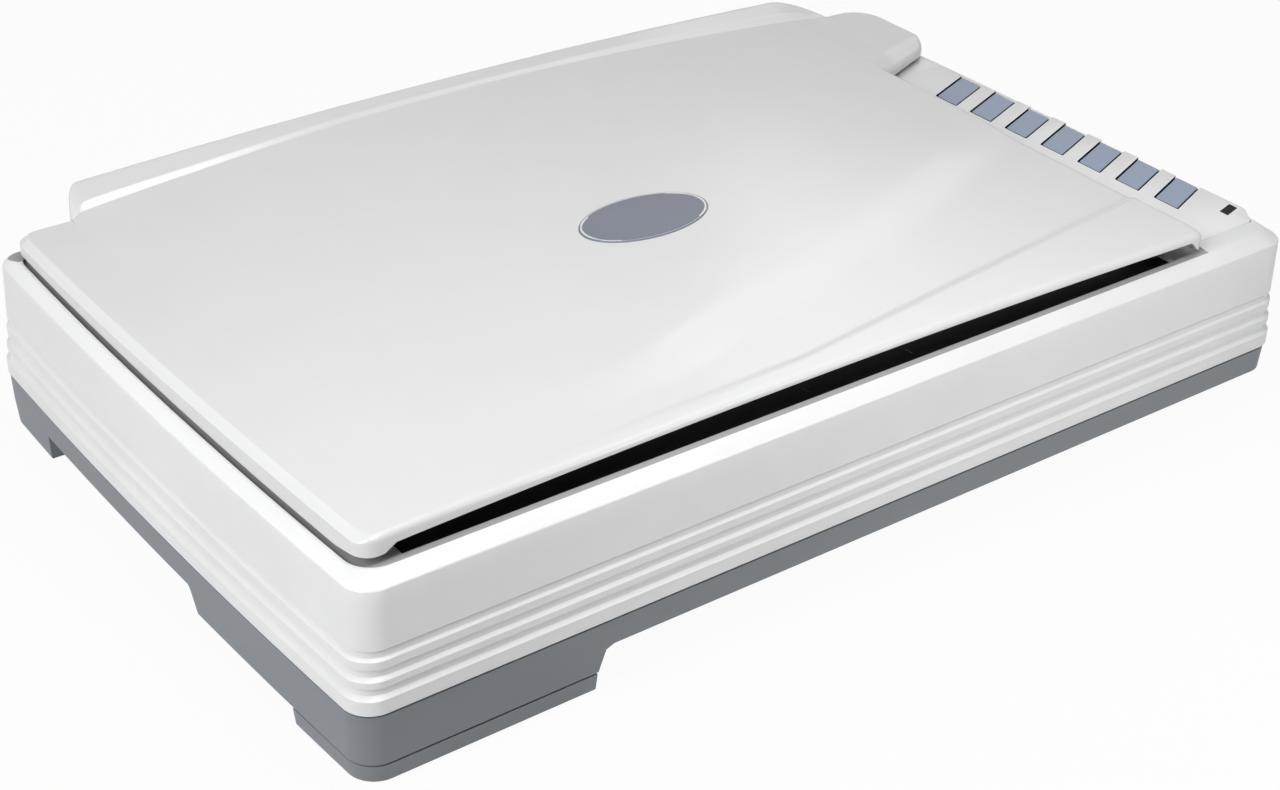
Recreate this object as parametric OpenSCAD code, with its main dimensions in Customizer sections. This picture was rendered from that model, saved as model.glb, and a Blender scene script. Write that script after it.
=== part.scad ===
// Large-format flatbed scanner with a lift-off book lid, a side row of keys
// and a stepped plinth. Millimetres, +Z up, front towards -Y, floor at z = 0.

/* [Housing] */
// Width of the housing along the front, at the crease under the rim
body_w = 610; // [540:1:740]
// Depth of the housing from front to back, at the same crease
body_d = 372; // [320:1:450]
// Height of the crease above the floor
body_h = 109; // [102:1:132]
// How far the two short sides bow outwards
bow = 4.4; // [0:0.2:8]
// Radius of the upright corners
corner_r = 14; // [10:1:20]
// Wall thickness of the plastic shells
wall = 2.5; // [2:0.1:3]
// Width of the sloping rim around the top
rim_w = 10; // [8:0.5:12]
// Height the rim climbs from the crease
rim_h = 4.5; // [3.5:0.5:6]
// Depth of the three shadow grooves in the walls
groove_d = 1.2; // [0.6:0.1:1.6]

/* [Plinth] */
// Height of the corner riser and of the inset feet under the plinth blocks
foot_h = 12.5; // [10:0.5:15]
// Height of the plinth cut-out above the floor
cut_h = 27.5; // [25:0.5:28.5]
// Height of the seam between plinth and white housing
seam_h = 43.5; // [41:0.5:48]

/* [Platen] */
// Thickness of the platen glass
glass_t = 3; // [2:0.5:3.5]
// Width of the printed mask in front of the scan window
mask_front = 16; // [10:1:22]

/* [Lid] */
// Height of the lid edge from its lower lip to its top
lid_t = 11.5; // [10:0.5:14]
// Gap between the lid lip and the rim
lid_gap = 2.5; // [1.5:0.1:4]
// Height of the hinge ridge above the lid
ridge_h = 10; // [9:0.5:14]
// Height by which the hinge posts lift for a thick book
post_lift = 25; // [10:1:28]
// Long axis of the plain oval badge
badge_w = 82; // [50:1:110]

/* [Keys] */
// Length of a key across the panel
key_w = 28; // [22:1:28]
// Travel of a key
key_travel = 0.8; // [0.4:0.1:0.9]

/* [Scan drive] */
// Diameter of the guide rod
rod_d = 10; // [8:0.5:12]
// Teeth on the motor pinion, one fifth of the teeth on the belt gear
pinion_n = 10; // [9:1:10]
// Diameter of the stepper motor can
motor_d = 36; // [28:1:37]

/* [Hidden] */
$fn = 48;
hw = body_w / 2;
hd = body_d / 2;
ridge_out = 19;
wall_out = 2.7;
y_mid = (ridge_out - wall_out) / 2;
y_f = -hd - y_mid;
y_b = hd - y_mid;
z_rim = body_h + rim_h;
z_deck = z_rim - 2.5;
z_under = z_deck - wall;
pan_z = cut_h + wall;
panel_x0 = hw - 53;
plat_x0 = -hw + 32;
plat_x1 = hw - 83;
plat_y0 = y_f + 18;
plat_y1 = y_b - 28;
win_x0 = plat_x0 + 22;
win_x1 = plat_x1 - 40;
win_y0 = plat_y0 + mask_front;
win_y1 = plat_y1 - 5;
mask_t = 0.4;
panel_t = 2.5;
pcb_t = 1.6;
glass_z = z_under - mask_t - glass_t;
slit_home = plat_x1 - 24;
car_x0 = slit_home - 35;
car_x1 = slit_home + 55;
car_y0 = plat_y0 + 2;
car_y1 = plat_y1;
car_z0 = pan_z + 24;
car_z1 = glass_z - 1.6;
rod_y = y_f + 86;
rod_z = pan_z + 14;
rail_y = y_b - 66;
belt_y = rod_y + 38;
belt_z = pan_z + 8.5;
pul_r = 7;
shaft_d = 4;
shaft_hole_d = 4.1;
pin_d = 5;
belt_t = 1.4;
drive_x = -hw + 33;
idler_x = hw - 26;
gear_n = 5 * pinion_n;
gear_r = gear_n / 2;
pin_r = pinion_n / 2;
gear_z = pan_z + 17;
mot_x = drive_x + 6;
mot_y = belt_y + sqrt(pow(gear_r + pin_r, 2) - 36);
mesh_angle = atan2(mot_y - belt_y, mot_x - drive_x);
mot_posts = [[mot_x, mot_y + 26], [mot_x + 26, mot_y]];
post_x = [-hw + 85, hw - 115];
post_w = 24;
post_y0 = y_b - 18;
post_y1 = y_b - 8;
axis_y = y_b + 7;
lid_z0 = z_rim + lid_gap;
lid_z1 = lid_z0 + lid_t;
lid_x0 = -hw + 9;
lid_x1 = hw - 54;
lid_y0 = y_f + 11.5;
badge_x = -7.5;
badge_y = 6 - y_mid;
badge_d = badge_w * 0.536;
axis_z = lid_z0 + 9;
ridge_x0 = -hw + 50;
ridge_x1 = hw - 57;
ear_x1 = hw - 1;
ear_y = y_b - 95;
key_n = 7;
key_pitch = (body_d - 168) / 7;
key_l = key_pitch * 0.577;
key_y0 = y_b - 133;
key_skew = 0.34;
key_z = z_rim + 0.7;
board_drop = 10.5;
board_z = z_rim - board_drop;
tab_x0 = hw - 200;
tab_x1 = hw - 105;
pcb_z = pan_z + 3;
socket_z1 = pcb_z + 12.8;
data_x = [tab_x0 + 15, tab_x0 + 27];
power_x = [tab_x0 + 45, tab_x0 + 54];
boss_z = pan_z + 3;
pad_d = 22;
riser_pads = [[-hw + 24, y_f + 28], [-hw + 106, y_f + 28]];
feet = [[-hw + 50, y_b - 32], [hw - 60, y_f + 62], [hw - 60, y_b - 50]];
bosses = [[-hw + 14, y_f + 14], [hw - 14, y_f + 14], [-hw + 14, y_b - 14],
          [hw - 14, y_b - 14], [0, y_f + 8], [-20, y_b - 8]];
block_bosses = [bosses[0], bosses[2]];
boss_d = 12;
bumpers = [[lid_x0 + 12, lid_y0 + 24], [lid_x1 - 12, lid_y0 + 24],
           [lid_x0 + 12, y_b - 70], [lid_x1 - 12, y_b - 70]];
board_posts = [for (x = [tab_x0 + 6, tab_x1 - 6], y = [y_b - 52, y_b - 12]) [x, y]];
key_posts = [for (y = [key_y(key_n - 1) - 22, key_y0 + 24]) [hw - 27, y]];
lid_bosses = [[plat_x0 + 40, lid_y0 + 60], [plat_x1 - 40, lid_y0 + 60],
              [plat_x0 + 40, y_b - 60], [plat_x1 - 40, y_b - 60]];

function arc(cx, cy, r, a0, a1, n = 6) =
    [for (k = [0:n]) let (a = a0 + (a1 - a0) * k / n) [cx + r * cos(a), cy + r * sin(a)]];
function bulge(p, d) = [p[0] + sign(p[0]) * bow * (1 - pow(p[1] / d, 2)), p[1] - y_mid];
function side(x, y0, y1) = [for (k = [1:5]) [x, y0 + (y1 - y0) * k / 6]];
function outline(o, r = corner_r) =
    let (w = hw + o, d = hd + o)
    [for (p = concat(arc(w - r, d - r, r, 0, 90), arc(-w + r, d - r, r, 90, 180),
                     side(-w, d - r, -d + r), arc(-w + r, -d + r, r, 180, 270),
                     arc(w - r, -d + r, r, 270, 360), side(w, -d + r, d - r))) bulge(p, d)];
function key_x(i) = hw - 39.5 + 1.27 * i;
function key_y(i) = key_y0 - key_pitch * i;
function key_shape(i, g) =
    let (x0 = key_x(i) - g, x1 = key_x(i) + key_w + g, h = key_l / 2 + g, s = key_skew)
    [[x0, key_y(i) - h - s * g], [x1, key_y(i) - h + s * (key_w + g)],
     [x1, key_y(i) + h + s * (key_w + g)], [x0, key_y(i) + h - s * g]];
function wheel(n, ro, ri, rb, ph = 0) =
    [for (k = [0:n - 1], p = [[-0.29, rb], [-0.27, ri], [-0.13, ro], [0.13, ro], [0.27, ri], [0.29, rb]])
        let (a = ph + (k + p[0]) * 360 / n) [p[1] * cos(a), p[1] * sin(a)]];

module slab(z0, z1, o, r = corner_r)
    translate([0, 0, z0]) linear_extrude(z1 - z0) polygon(outline(o, r));
module at(places, z)
    for (p = places) translate([p[0], p[1], z]) children();
module box(x0, x1, y0, y1, z0, z1)
    translate([x0, y0, z0]) cube([x1 - x0, y1 - y0, z1 - z0]);
module rod_x(x0, x1, y, z, d)
    translate([x0, y, z]) rotate([0, 90, 0]) cylinder(d = d, h = x1 - x0);
module along_y(y0, y1)
    translate([0, y1, 0]) rotate([90, 0, 0]) linear_extrude(y1 - y0) children();
module along_x(x0, x1)
    translate([x0, 0, 0]) rotate([90, 0, 90]) linear_extrude(x1 - x0) children();

// Stepped plinth with two hollow blocks on the left and a connector tab at the back
module plinth_block_front(z0, z1, o, g) intersection() {
    slab(z0, z1, o);
    along_y(-body_d, 0) polygon([[-body_w, 0], [-hw + 130 - g, 0], [-hw + 130 - g, foot_h],
        [-hw + 133.5 - g, cut_h - 2], [-hw + 138 - g, cut_h], [-hw + 138 - g, 80], [-body_w, 80]]);
    along_x(-body_w, 0) polygon([[-body_d, 0], [y_f + 148 - g, 0], [y_f + 148 - g, foot_h],
        [y_f + 152 - g, cut_h - 3], [y_f + 154 - g, cut_h], [y_f + 154 - g, 80], [-body_d, 80]]);
}
module plinth_block_rear(z0, z1, o, g) intersection() {
    slab(z0, z1, o);
    box(-body_w, -hw + 120 - g, y_b - 56 + g, body_d, 0, 80);
}
module base_pan() color([0.50, 0.52, 0.55]) difference() {
    union() {
        slab(cut_h, seam_h, 2);
        at(bosses, cut_h) cylinder(d = boss_d, h = boss_z - 0.2 - cut_h);
        at(board_posts, cut_h) cylinder(d = 7, h = pcb_z - cut_h);
        at(mot_posts, cut_h) cylinder(d = 8, h = gear_z - 2.5 - cut_h);
    }
    difference() {
        slab(pan_z, seam_h + 1, 2 - wall);
        at(bosses, pan_z - 1) cylinder(d = boss_d, h = boss_z + 0.8 - pan_z);
        at(board_posts, pan_z - 1) cylinder(d = 7, h = 4);
        at(mot_posts, pan_z - 1) cylinder(d = 8, h = gear_z - 1.5 - pan_z);
    }
    at(bosses, cut_h - 1) {
        cylinder(d = 8, h = 2.5);
        cylinder(d = 4, h = 20);
    }
    box(tab_x0, tab_x1, y_b - 1, y_b + 3, cut_h - 1, seam_h + 1);
    plinth_well();
    at(block_bosses, cut_h - 1) cylinder(d = boss_d, h = 30);
}
module plinth_blocks() color([0.50, 0.52, 0.55]) difference() {
    union() {
        plinth_block_front(foot_h, cut_h, 0.8, 0);
        plinth_block_rear(foot_h, cut_h, 0.8, 0);
        at(block_bosses, foot_h) cylinder(d = boss_d, h = boss_z - 0.2 - foot_h);
    }
    plinth_well();
    at(block_bosses, foot_h - 1) {
        cylinder(d = 8, h = cut_h + 2.5 - foot_h);
        cylinder(d = 4, h = 40);
    }
}
module socket_plate() color([0.50, 0.52, 0.55]) difference() {
    box(tab_x0, tab_x1, y_b - 1, y_b + 2, cut_h, pan_z + 22);
    for (q = [data_x, power_x])
        box(q[0] - 0.3, q[1] + 0.3, y_b - 3, y_b + 3, pcb_z + pcb_t - 0.1, socket_z1 + 0.3);
}
module plinth_well() {
    difference() {
        plinth_block_front(foot_h + wall, pan_z + 1, 0.8 - wall, wall);
        at(mot_posts, 0) cylinder(d = 8, h = 80);
        translate([mot_x, mot_y, 0]) cylinder(d = motor_d + 2, h = 80);
        at(block_bosses, 0) cylinder(d = boss_d, h = 80);
        box(-body_w, 0, rod_y - 12, belt_y + 12, 0, 80);
    }
    difference() {
        plinth_block_rear(foot_h + wall, pan_z + 1, 0.8 - wall, wall);
        at(block_bosses, 0) cylinder(d = boss_d, h = 80);
    }
}

// Separate riser under the front left corner
module riser_foot() color([0.48, 0.50, 0.53]) difference() {
    intersection() {
        slab(1, foot_h, -0.6);
        box(-body_w, -hw + 130, -body_d, y_f + 55, 0, 50);
    }
    intersection() {
        slab(4, foot_h + 1, -0.6 - wall);
        box(-body_w, -hw + 130 - wall, -body_d, y_f + 55 - wall, 0, 50);
    }
    at(riser_pads, 0) cylinder(d = pad_d + 0.2, h = 2.4);
}
module inset_foot(p, top) difference() {
    translate([p[0], p[1], 2]) cylinder(d = 36, h = top - 2);
    translate([p[0], p[1], 0]) cylinder(d = pad_d + 0.2, h = 2.6);
}
module inset_feet() color([0.42, 0.44, 0.47]) for (k = [0:2]) inset_foot(feet[k], k == 0 ? foot_h : cut_h);
module rubber_pads() color([0.08, 0.08, 0.09]) {
    at(riser_pads, 0) cylinder(d = pad_d, h = 2.4);
    at(feet, 0) cylinder(d = pad_d, h = 2.6);
}

// White upper shell: grooved walls, sloping rim, sunk deck with the platen opening
module rim_block() intersection() {
    slab(body_h, z_rim, 0);
    along_y(-body_d, body_d) polygon([[-hw - bow, body_h], [-hw - bow + rim_w, z_rim],
        [hw + bow - 6.5, z_rim], [hw + bow, body_h]]);
    along_x(-body_w, body_w) polygon([[y_f, body_h], [y_f + rim_w, z_rim], [y_b, z_rim], [y_b, body_h]]);
}
module upper_walls() {
    gz = [body_h - 57, body_h - 47.3, body_h - 37.2];
    slab(seam_h, gz[0], 2.7);
    slab(gz[0], gz[0] + 5, 2.7 - groove_d);
    slab(gz[0] + 5, gz[1], 2.2);
    slab(gz[1], gz[1] + 4.6, 2.2 - groove_d);
    slab(gz[1] + 4.6, gz[2], 1.7);
    slab(gz[2], gz[2] + 4, 1.7 - groove_d);
    slab(gz[2] + 4, body_h, 0.8);
}
module sleeve_hole(x, g, z0, z1)
    box(x - post_w / 2 - g, x + post_w / 2 + g, post_y0 - g, post_y1 + g, z0, z1);
module panel_plan(g, e) polygon([[panel_x0 + g, y_f + 21 + g], [hw - 8 - e, y_f + 21 + g],
    [hw - 1.2 - e, y_f + 34 + g], [hw - 1.2 - e, key_y(key_n - 1)], [hw - 5 - e, key_y0 + 24],
    [hw - 5 - e, ear_y + 6 - g], [panel_x0 + g, ear_y + 6 - g]]);
module upper_housing() color([0.93, 0.93, 0.93]) difference() {
    union() {
        difference() {
            union() {
                upper_walls();
                rim_block();
            }
            slab(seam_h - 1, z_under, -wall);
            intersection() {
                slab(z_deck, z_rim + 1, -rim_w);
                box(-body_w, panel_x0, -body_d, body_d, 0, 300);
            }
            box(-hw + rim_w, panel_x0, 0, y_b + 9, z_deck, z_rim + 1);
        }
        at(bosses, boss_z) cylinder(d = 9, h = z_under + 1 - boss_z);
    }
    at(bosses, boss_z - 1) cylinder(d = 3.2, h = 22);
    box(plat_x0, plat_x1, plat_y0, plat_y1, 0, 300);
    for (x = post_x) sleeve_hole(x, 0.3, z_under - 1, z_deck + 1);
    translate([0, 0, z_rim - panel_t]) linear_extrude(5) panel_plan(0, 0);
    translate([0, 0, z_under - 1]) linear_extrude(9) panel_plan(3, 1.2);
    box(tab_x0 - 0.3, tab_x1 + 0.3, y_b - 6, y_b + 9, 0, pan_z + 22.3);
}

// Key panel insert: skewed key openings, raised bars between them, board pillars
module panel_bar(i) {
    x0 = key_x(i) + 2;
    x1 = key_x(i) + key_w - 1.5;
    y = key_y(i) - key_pitch / 2;
    h = (key_pitch - key_l) / 2 - 0.5;
    s = key_skew;
    translate([0, 0, z_rim - 1]) linear_extrude(3) polygon([[x0, y - h + s * 2],
        [x1, y - h + s * (key_w - 1.5)], [x1, y + h + s * (key_w - 1.5)], [x0, y + h + s * 2]]);
}
module button_panel() color([0.92, 0.92, 0.92]) difference() {
    union() {
        translate([0, 0, z_rim - panel_t]) linear_extrude(panel_t) panel_plan(0.15, 0.15);
        for (i = [0:key_n - 2]) panel_bar(i);
        at(key_posts, board_z + pcb_t) cylinder(d = 7, h = board_drop - pcb_t - 1);
    }
    for (i = [0:key_n - 1]) translate([0, 0, z_rim - 5]) linear_extrude(12) polygon(key_shape(i, 0.3));
    at(key_posts, 0) cylinder(d = 2.4, h = z_rim - 3);
    window_block(0.2, z_rim - 3, z_rim + 1);
}
module window_block(g, z0, z1)
    box(hw - 11.5 - g, hw - 5.1 + g, y_f + 35.4 - g, y_f + 40.6 + g, z0, z1);
module indicator_window() color([0.02, 0.02, 0.02]) window_block(0, z_rim - 2.4, z_rim + 0.3);
module key(i) color([0.56, 0.62, 0.72]) {
    translate([0, 0, z_rim - 3.2]) linear_extrude(key_z - z_rim + 3.2) polygon(key_shape(i, 0));
    translate([0, 0, z_rim - 3.9]) linear_extrude(1.1) polygon(key_shape(i, 1));
}
module key_1() key(0);
module key_2() key(1);
module key_3() key(2);
module key_4() key(3);
module key_5() key(4);
module key_6() key(5);
module key_7() key(6);
module key_board() color([0.10, 0.35, 0.18]) difference() {
    box(hw - 45, hw - 9, key_y(key_n - 1) - 30, key_y0 + 32, board_z, board_z + pcb_t);
    at(key_posts, 0) cylinder(d = 3, h = 300);
}
module key_switches() color([0.15, 0.15, 0.16]) for (i = [0:key_n - 1]) {
    x = key_x(i) + key_w / 2 - 1;
    y = key_y(i) + key_skew * (key_w / 2);
    box(x - 3, x + 3, y - 3, y + 3, board_z + pcb_t, board_z + 4.8);
    translate([x, y, board_z + 4.8]) cylinder(d = 3.4, h = z_rim - 4 - key_travel - board_z - 4.8);
}

// Glass, its printed mask and the white reference strip set into the mask
module platen_glass() color([0.75, 0.85, 0.85, 0.35])
    box(plat_x0 - 5, plat_x1 + 5, plat_y0 - 4, plat_y1 + 4, glass_z, glass_z + glass_t);
module platen_mask() color([0.02, 0.02, 0.02]) difference() {
    box(plat_x0 - 5, plat_x1 + 5, plat_y0 - 4, plat_y1 + 4, z_under - mask_t, z_under);
    box(win_x0, win_x1, win_y0, win_y1, 0, 300);
    box(plat_x1 - 33, plat_x1 - 10, win_y0, win_y1, 0, 300);
}
module calibration_strip() color([0.80, 0.80, 0.80])
    box(plat_x1 - 33, plat_x1 - 10, win_y0, win_y1, z_under - mask_t, z_under);

// Guide rod and support rail along the scan direction
module guide_rod() color([0.75, 0.76, 0.78]) rod_x(-hw + 7, hw - 7, rod_y, rod_z, rod_d);
module rod_holder(x) difference() {
    box(x - 5, x + 5, rod_y - 11, rod_y + 11, pan_z, rod_z + rod_d / 2 + 3);
    rod_x(x - 9, x + 9, rod_y, rod_z, rod_d);
}
module rod_holders() color([0.20, 0.20, 0.22]) for (x = [-hw + 12, hw - 12]) rod_holder(x);
module support_rail() color([0.70, 0.71, 0.73]) {
    box(-hw + 8, hw - 8, rail_y - 5, rail_y + 5, pan_z + 9.5, pan_z + 11);
    box(-hw + 8, hw - 8, rail_y - 5, rail_y - 3.5, pan_z, pan_z + 10);
    box(-hw + 8, hw - 8, rail_y - 5, rail_y + 9, pan_z, pan_z + 1.2);
}

// Stepper motor, reduction gear, toothed belt and spring-loaded idler
module drive_motor() color([0.62, 0.63, 0.65]) translate([mot_x, mot_y, 0]) difference() {
    union() {
        translate([0, 0, pan_z]) cylinder(d = motor_d, h = gear_z - 2.5 - pan_z);
        translate([0, 0, gear_z - 2.6]) cylinder(d = 9, h = 1.6);
    }
    translate([0, 0, gear_z - 8]) cylinder(d = 3.2, h = 20);
}
module motor_bracket() color([0.72, 0.73, 0.75]) difference() {
    union() {
        box(mot_x - 9, mot_x + 9, mot_y - 9, mot_y + 31, gear_z - 2.5, gear_z - 1);
        box(mot_x - 9, mot_x + 31, mot_y - 9, mot_y + 9, gear_z - 2.5, gear_z - 1);
    }
    translate([mot_x, mot_y, 0]) cylinder(d = 9, h = 200);
}
module motor_pinion() color([0.80, 0.66, 0.34]) translate([mot_x, mot_y, 0]) {
    translate([0, 0, gear_z]) linear_extrude(4)
        polygon(wheel(pinion_n, pin_r + 0.8, pin_r - 0.3, pin_r - 1.1, 180 / pinion_n + mesh_angle + 180));
    translate([0, 0, gear_z - 7.5]) cylinder(d = 3, h = 7.6);
}
module drive_gear() color([0.90, 0.90, 0.86]) translate([drive_x, belt_y, gear_z]) difference() {
    linear_extrude(4) polygon(wheel(gear_n, gear_r + 0.8, gear_r - 0.3, gear_r - 1.1, mesh_angle));
    translate([0, 0, -1]) cylinder(d = shaft_hole_d, h = 9);
}
module belt_wheel() difference() {
    union() {
        translate([0, 0, belt_z - 0.5]) cylinder(r = pul_r, h = 7);
        translate([0, 0, belt_z - 1.5]) cylinder(r = pul_r + 2.6, h = 1);
        translate([0, 0, belt_z + 6.5]) cylinder(r = pul_r + 2.6, h = 1);
    }
    translate([0, 0, belt_z - 3]) cylinder(d = shaft_hole_d, h = 14);
}
module drive_pulley() color([0.85, 0.85, 0.82]) translate([drive_x, belt_y, 0]) {
    belt_wheel();
    translate([0, 0, belt_z + 7.5]) difference() {
        cylinder(d = 9, h = gear_z - belt_z - 7.5);
        translate([0, 0, -1]) cylinder(d = shaft_hole_d, h = 9);
    }
}
module idler_pulley() color([0.85, 0.85, 0.82]) translate([idler_x, belt_y, 0]) belt_wheel();
module drive_shaft() color([0.76, 0.77, 0.79]) translate([drive_x, belt_y, pan_z]) {
    cylinder(d = shaft_d, h = gear_z + 5.5 - pan_z);
    cylinder(d = 9, h = belt_z - 1.7 - pan_z);
}
module tail_shaft() color([0.76, 0.77, 0.79]) translate([idler_x, belt_y, pan_z + 2]) {
    cylinder(d = shaft_d, h = belt_z + 8.5 - pan_z - 2);
    cylinder(d = 8, h = belt_z - 1.7 - pan_z - 2);
}
module belt_shafts() {
    drive_shaft();
    tail_shaft();
}
module idler_bracket() color([0.70, 0.71, 0.73]) difference() {
    union() {
        box(idler_x - 18, idler_x + 11, belt_y - 9, belt_y + 9, pan_z, pan_z + 2);
        box(idler_x - 18, idler_x - 16, belt_y - 4, belt_y + 4, pan_z, pan_z + 6);
    }
    box(idler_x - 10, idler_x - 5, belt_y - 1.6, belt_y + 1.6, 0, 100);
}
module tension_spring() color([0.66, 0.67, 0.70]) {
    box(idler_x + 11, idler_x + 11.6, belt_y - 5, belt_y + 5, pan_z, pan_z + 6);
    box(idler_x + 11, idler_x + 18, belt_y - 5, belt_y + 5, pan_z, pan_z + 0.6);
}
module loop_plan(r) {
    translate([drive_x, belt_y]) circle(r = r);
    translate([idler_x, belt_y]) circle(r = r);
    translate([drive_x, belt_y - r]) square([idler_x - drive_x, 2 * r]);
}
module drive_belt() color([0.06, 0.06, 0.07]) translate([0, 0, belt_z]) linear_extrude(6) difference() {
    loop_plan(pul_r + 0.1 + belt_t);
    loop_plan(pul_r + 0.1);
}

// Main board with its sockets, and the flat cable that follows the carriage
module main_board() color([0.08, 0.32, 0.16]) {
    difference() {
        box(tab_x0 + 1, tab_x1 - 1, y_b - 57, y_b - 1.2, pcb_z, pcb_z + pcb_t);
        at(board_posts, 0) cylinder(d = 3, h = 200);
    }
    for (q = [[14, 20, 10, 46], [30, 14, 8, 30], [44, 12, 6, 24], [62, 16, 12, 44], [66, 10, 9, 24]])
        box(tab_x0 + q[0], tab_x0 + q[0] + q[1], y_b - q[3], y_b - q[3] + q[2], pcb_z + pcb_t, pcb_z + 3.4);
    at([[tab_x0 + 70, y_b - 20], [tab_x0 + 80, y_b - 28]], pcb_z + pcb_t) cylinder(d = 7, h = 9);
}
module usb_socket() color([0.78, 0.79, 0.81]) difference() {
    box(data_x[0], data_x[1], y_b - 15, y_b + 1.6, pcb_z + pcb_t, socket_z1);
    box(data_x[0] + 1, data_x[1] - 1, y_b - 9, y_b + 9, pcb_z + pcb_t + 1, socket_z1 - 1);
}
module power_socket() color([0.05, 0.05, 0.05]) difference() {
    box(power_x[0], power_x[1], y_b - 13, y_b + 1.6, pcb_z + pcb_t, socket_z1);
    translate([(power_x[0] + power_x[1]) / 2, y_b + 9, (pcb_z + pcb_t + socket_z1) / 2])
        rotate([90, 0, 0]) difference() {
            cylinder(d = 6.4, h = 18);
            cylinder(d = 2, h = 19);
        }
}
module flat_cable() color([0.88, 0.88, 0.85]) {
    x0 = car_x0 - 150;
    y0 = y_b - 44;
    y1 = y0 + 14;
    box(x0, tab_x0 + 0.5, y0, y1, pan_z + 0.3, pan_z + 0.8);
    box(tab_x0, tab_x0 + 0.5, y0, y1, pan_z + 0.3, pcb_z + 2.2);
    box(tab_x0, tab_x0 + 7, y0, y1, pcb_z + 1.7, pcb_z + 2.2);
    box(x0, car_x0 + 20, y0, y1, car_z0 - 0.7, car_z0 - 0.2);
    along_y(y0, y1) translate([x0, (car_z0 + pan_z + 0.1) / 2]) intersection() {
        difference() {
            circle(d = car_z0 - 0.5 - pan_z);
            circle(d = car_z0 - 1.5 - pan_z);
        }
        translate([-60, -60]) square([60, 120]);
    }
}
module board_screws() color([0.72, 0.72, 0.74]) {
    at(board_posts, pcb_z + pcb_t) cylinder(d = 5.6, h = 2);
    at(key_posts, board_z - 2) {
        cylinder(d = 5, h = 2);
        cylinder(d = 2.4, h = 8);
    }
    at(mot_posts, gear_z - 1) cylinder(d = 5.6, h = 2);
}
module housing_screws() color([0.25, 0.25, 0.27]) at(bosses, cut_h + 0.3) {
    cylinder(d = 7, h = 1.2);
    cylinder(d = 3.2, h = 18);
}

// Optical carriage: box frame with a slotted cover, lamp, mirrors, lens and sensor
module carriage_frame() color([0.10, 0.10, 0.11]) difference() {
    union() {
        box(car_x0, car_x1, car_y0, car_y1, car_z0, car_z1 - 2);
        for (x = [car_x0 + 1, car_x1 - 11]) box(x, x + 10, rod_y - 10, rod_y + 10, rod_z - 9, car_z0 + 1);
    }
    box(car_x0 + 2, car_x1 - 2, car_y0 + 2, car_y1 - 2, car_z0 + 2, car_z1);
    rod_x(car_x0 - 5, car_x1 + 5, rod_y, rod_z, rod_d + 4);
    box(car_x0 - 5, car_x0 + 3, -y_mid - 30, 30 - y_mid, car_z0 + 12, car_z0 + 24);
}
module carriage_cover() color([0.12, 0.12, 0.13]) difference() {
    box(car_x0, car_x1, car_y0, car_y1, car_z1 - 2, car_z1);
    box(slit_home - 11, slit_home + 11, car_y0 + 10, car_y1 - 4, 0, 300);
}
module lamp_bar() color([0.97, 0.97, 0.92])
    translate([slit_home - 15, car_y1 - 2, car_z1 - 8]) rotate([90, 0, 0])
        cylinder(d = 6, h = car_y1 - car_y0 - 4);
module lamp_reflector() color([0.85, 0.86, 0.88]) {
    box(slit_home - 20, slit_home - 19, car_y0 + 2, car_y1 - 2, car_z1 - 13, car_z1 - 3);
    box(slit_home - 20, slit_home - 11, car_y0 + 2, car_y1 - 2, car_z1 - 13, car_z1 - 12);
}
module strip(x, z, a, w) translate([x, 0, z]) rotate([0, a, 0])
    box(-w / 2, w / 2, car_y0 + 2.05, car_y1 - 2.05, -1, 1);
module mirrors() color([0.85, 0.88, 0.92]) {
    strip(slit_home, car_z0 + 13, -45, 18);
    strip(slit_home + 44, car_z0 + 13, 62, 18);
    strip(slit_home + 12, car_z0 + 29, -62, 15);
}
module lens_barrel() color([0.15, 0.15, 0.16]) {
    difference() {
        union() {
            rod_x(slit_home - 22, slit_home - 11, -y_mid, car_z0 + 18, 18);
            box(slit_home - 20, slit_home - 13, -y_mid - 8, 8 - y_mid, car_z0 + 2, car_z0 + 18);
        }
        rod_x(slit_home - 30, slit_home, -y_mid, car_z0 + 18, 10);
    }
    rod_x(slit_home - 18, slit_home - 16, -y_mid, car_z0 + 18, 10);
}
module sensor_board() color([0.10, 0.33, 0.18]) {
    box(slit_home - 32.6, slit_home - 31, -y_mid - 44, 44 - y_mid, car_z0 + 2, car_z0 + 32);
    box(slit_home - 31, slit_home - 28, -y_mid - 24, 24 - y_mid, car_z0 + 14, car_z0 + 22);
}
module rod_bushes() color([0.72, 0.55, 0.28]) for (x = [car_x0 + 1, car_x1 - 11]) difference() {
    rod_x(x, x + 10, rod_y, rod_z, rod_d + 4);
    rod_x(x - 1, x + 11, rod_y, rod_z, rod_d + 0.1);
}
module slide_pad() color([0.93, 0.93, 0.90]) for (x = [car_x0 + 6, car_x1 - 18])
    box(x, x + 12, rail_y - 4, rail_y + 4, pan_z + 11.06, car_z0);
module belt_clamp() color([0.16, 0.16, 0.17]) difference() {
    box(slit_home + 8, slit_home + 22, belt_y + pul_r - 3, belt_y + pul_r + 4.6, belt_z - 1.2, car_z0);
    box(slit_home, slit_home + 30, belt_y + pul_r - 0.2, belt_y + pul_r + 0.4 + belt_t,
        belt_z - 0.3, belt_z + 6.3);
}

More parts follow.
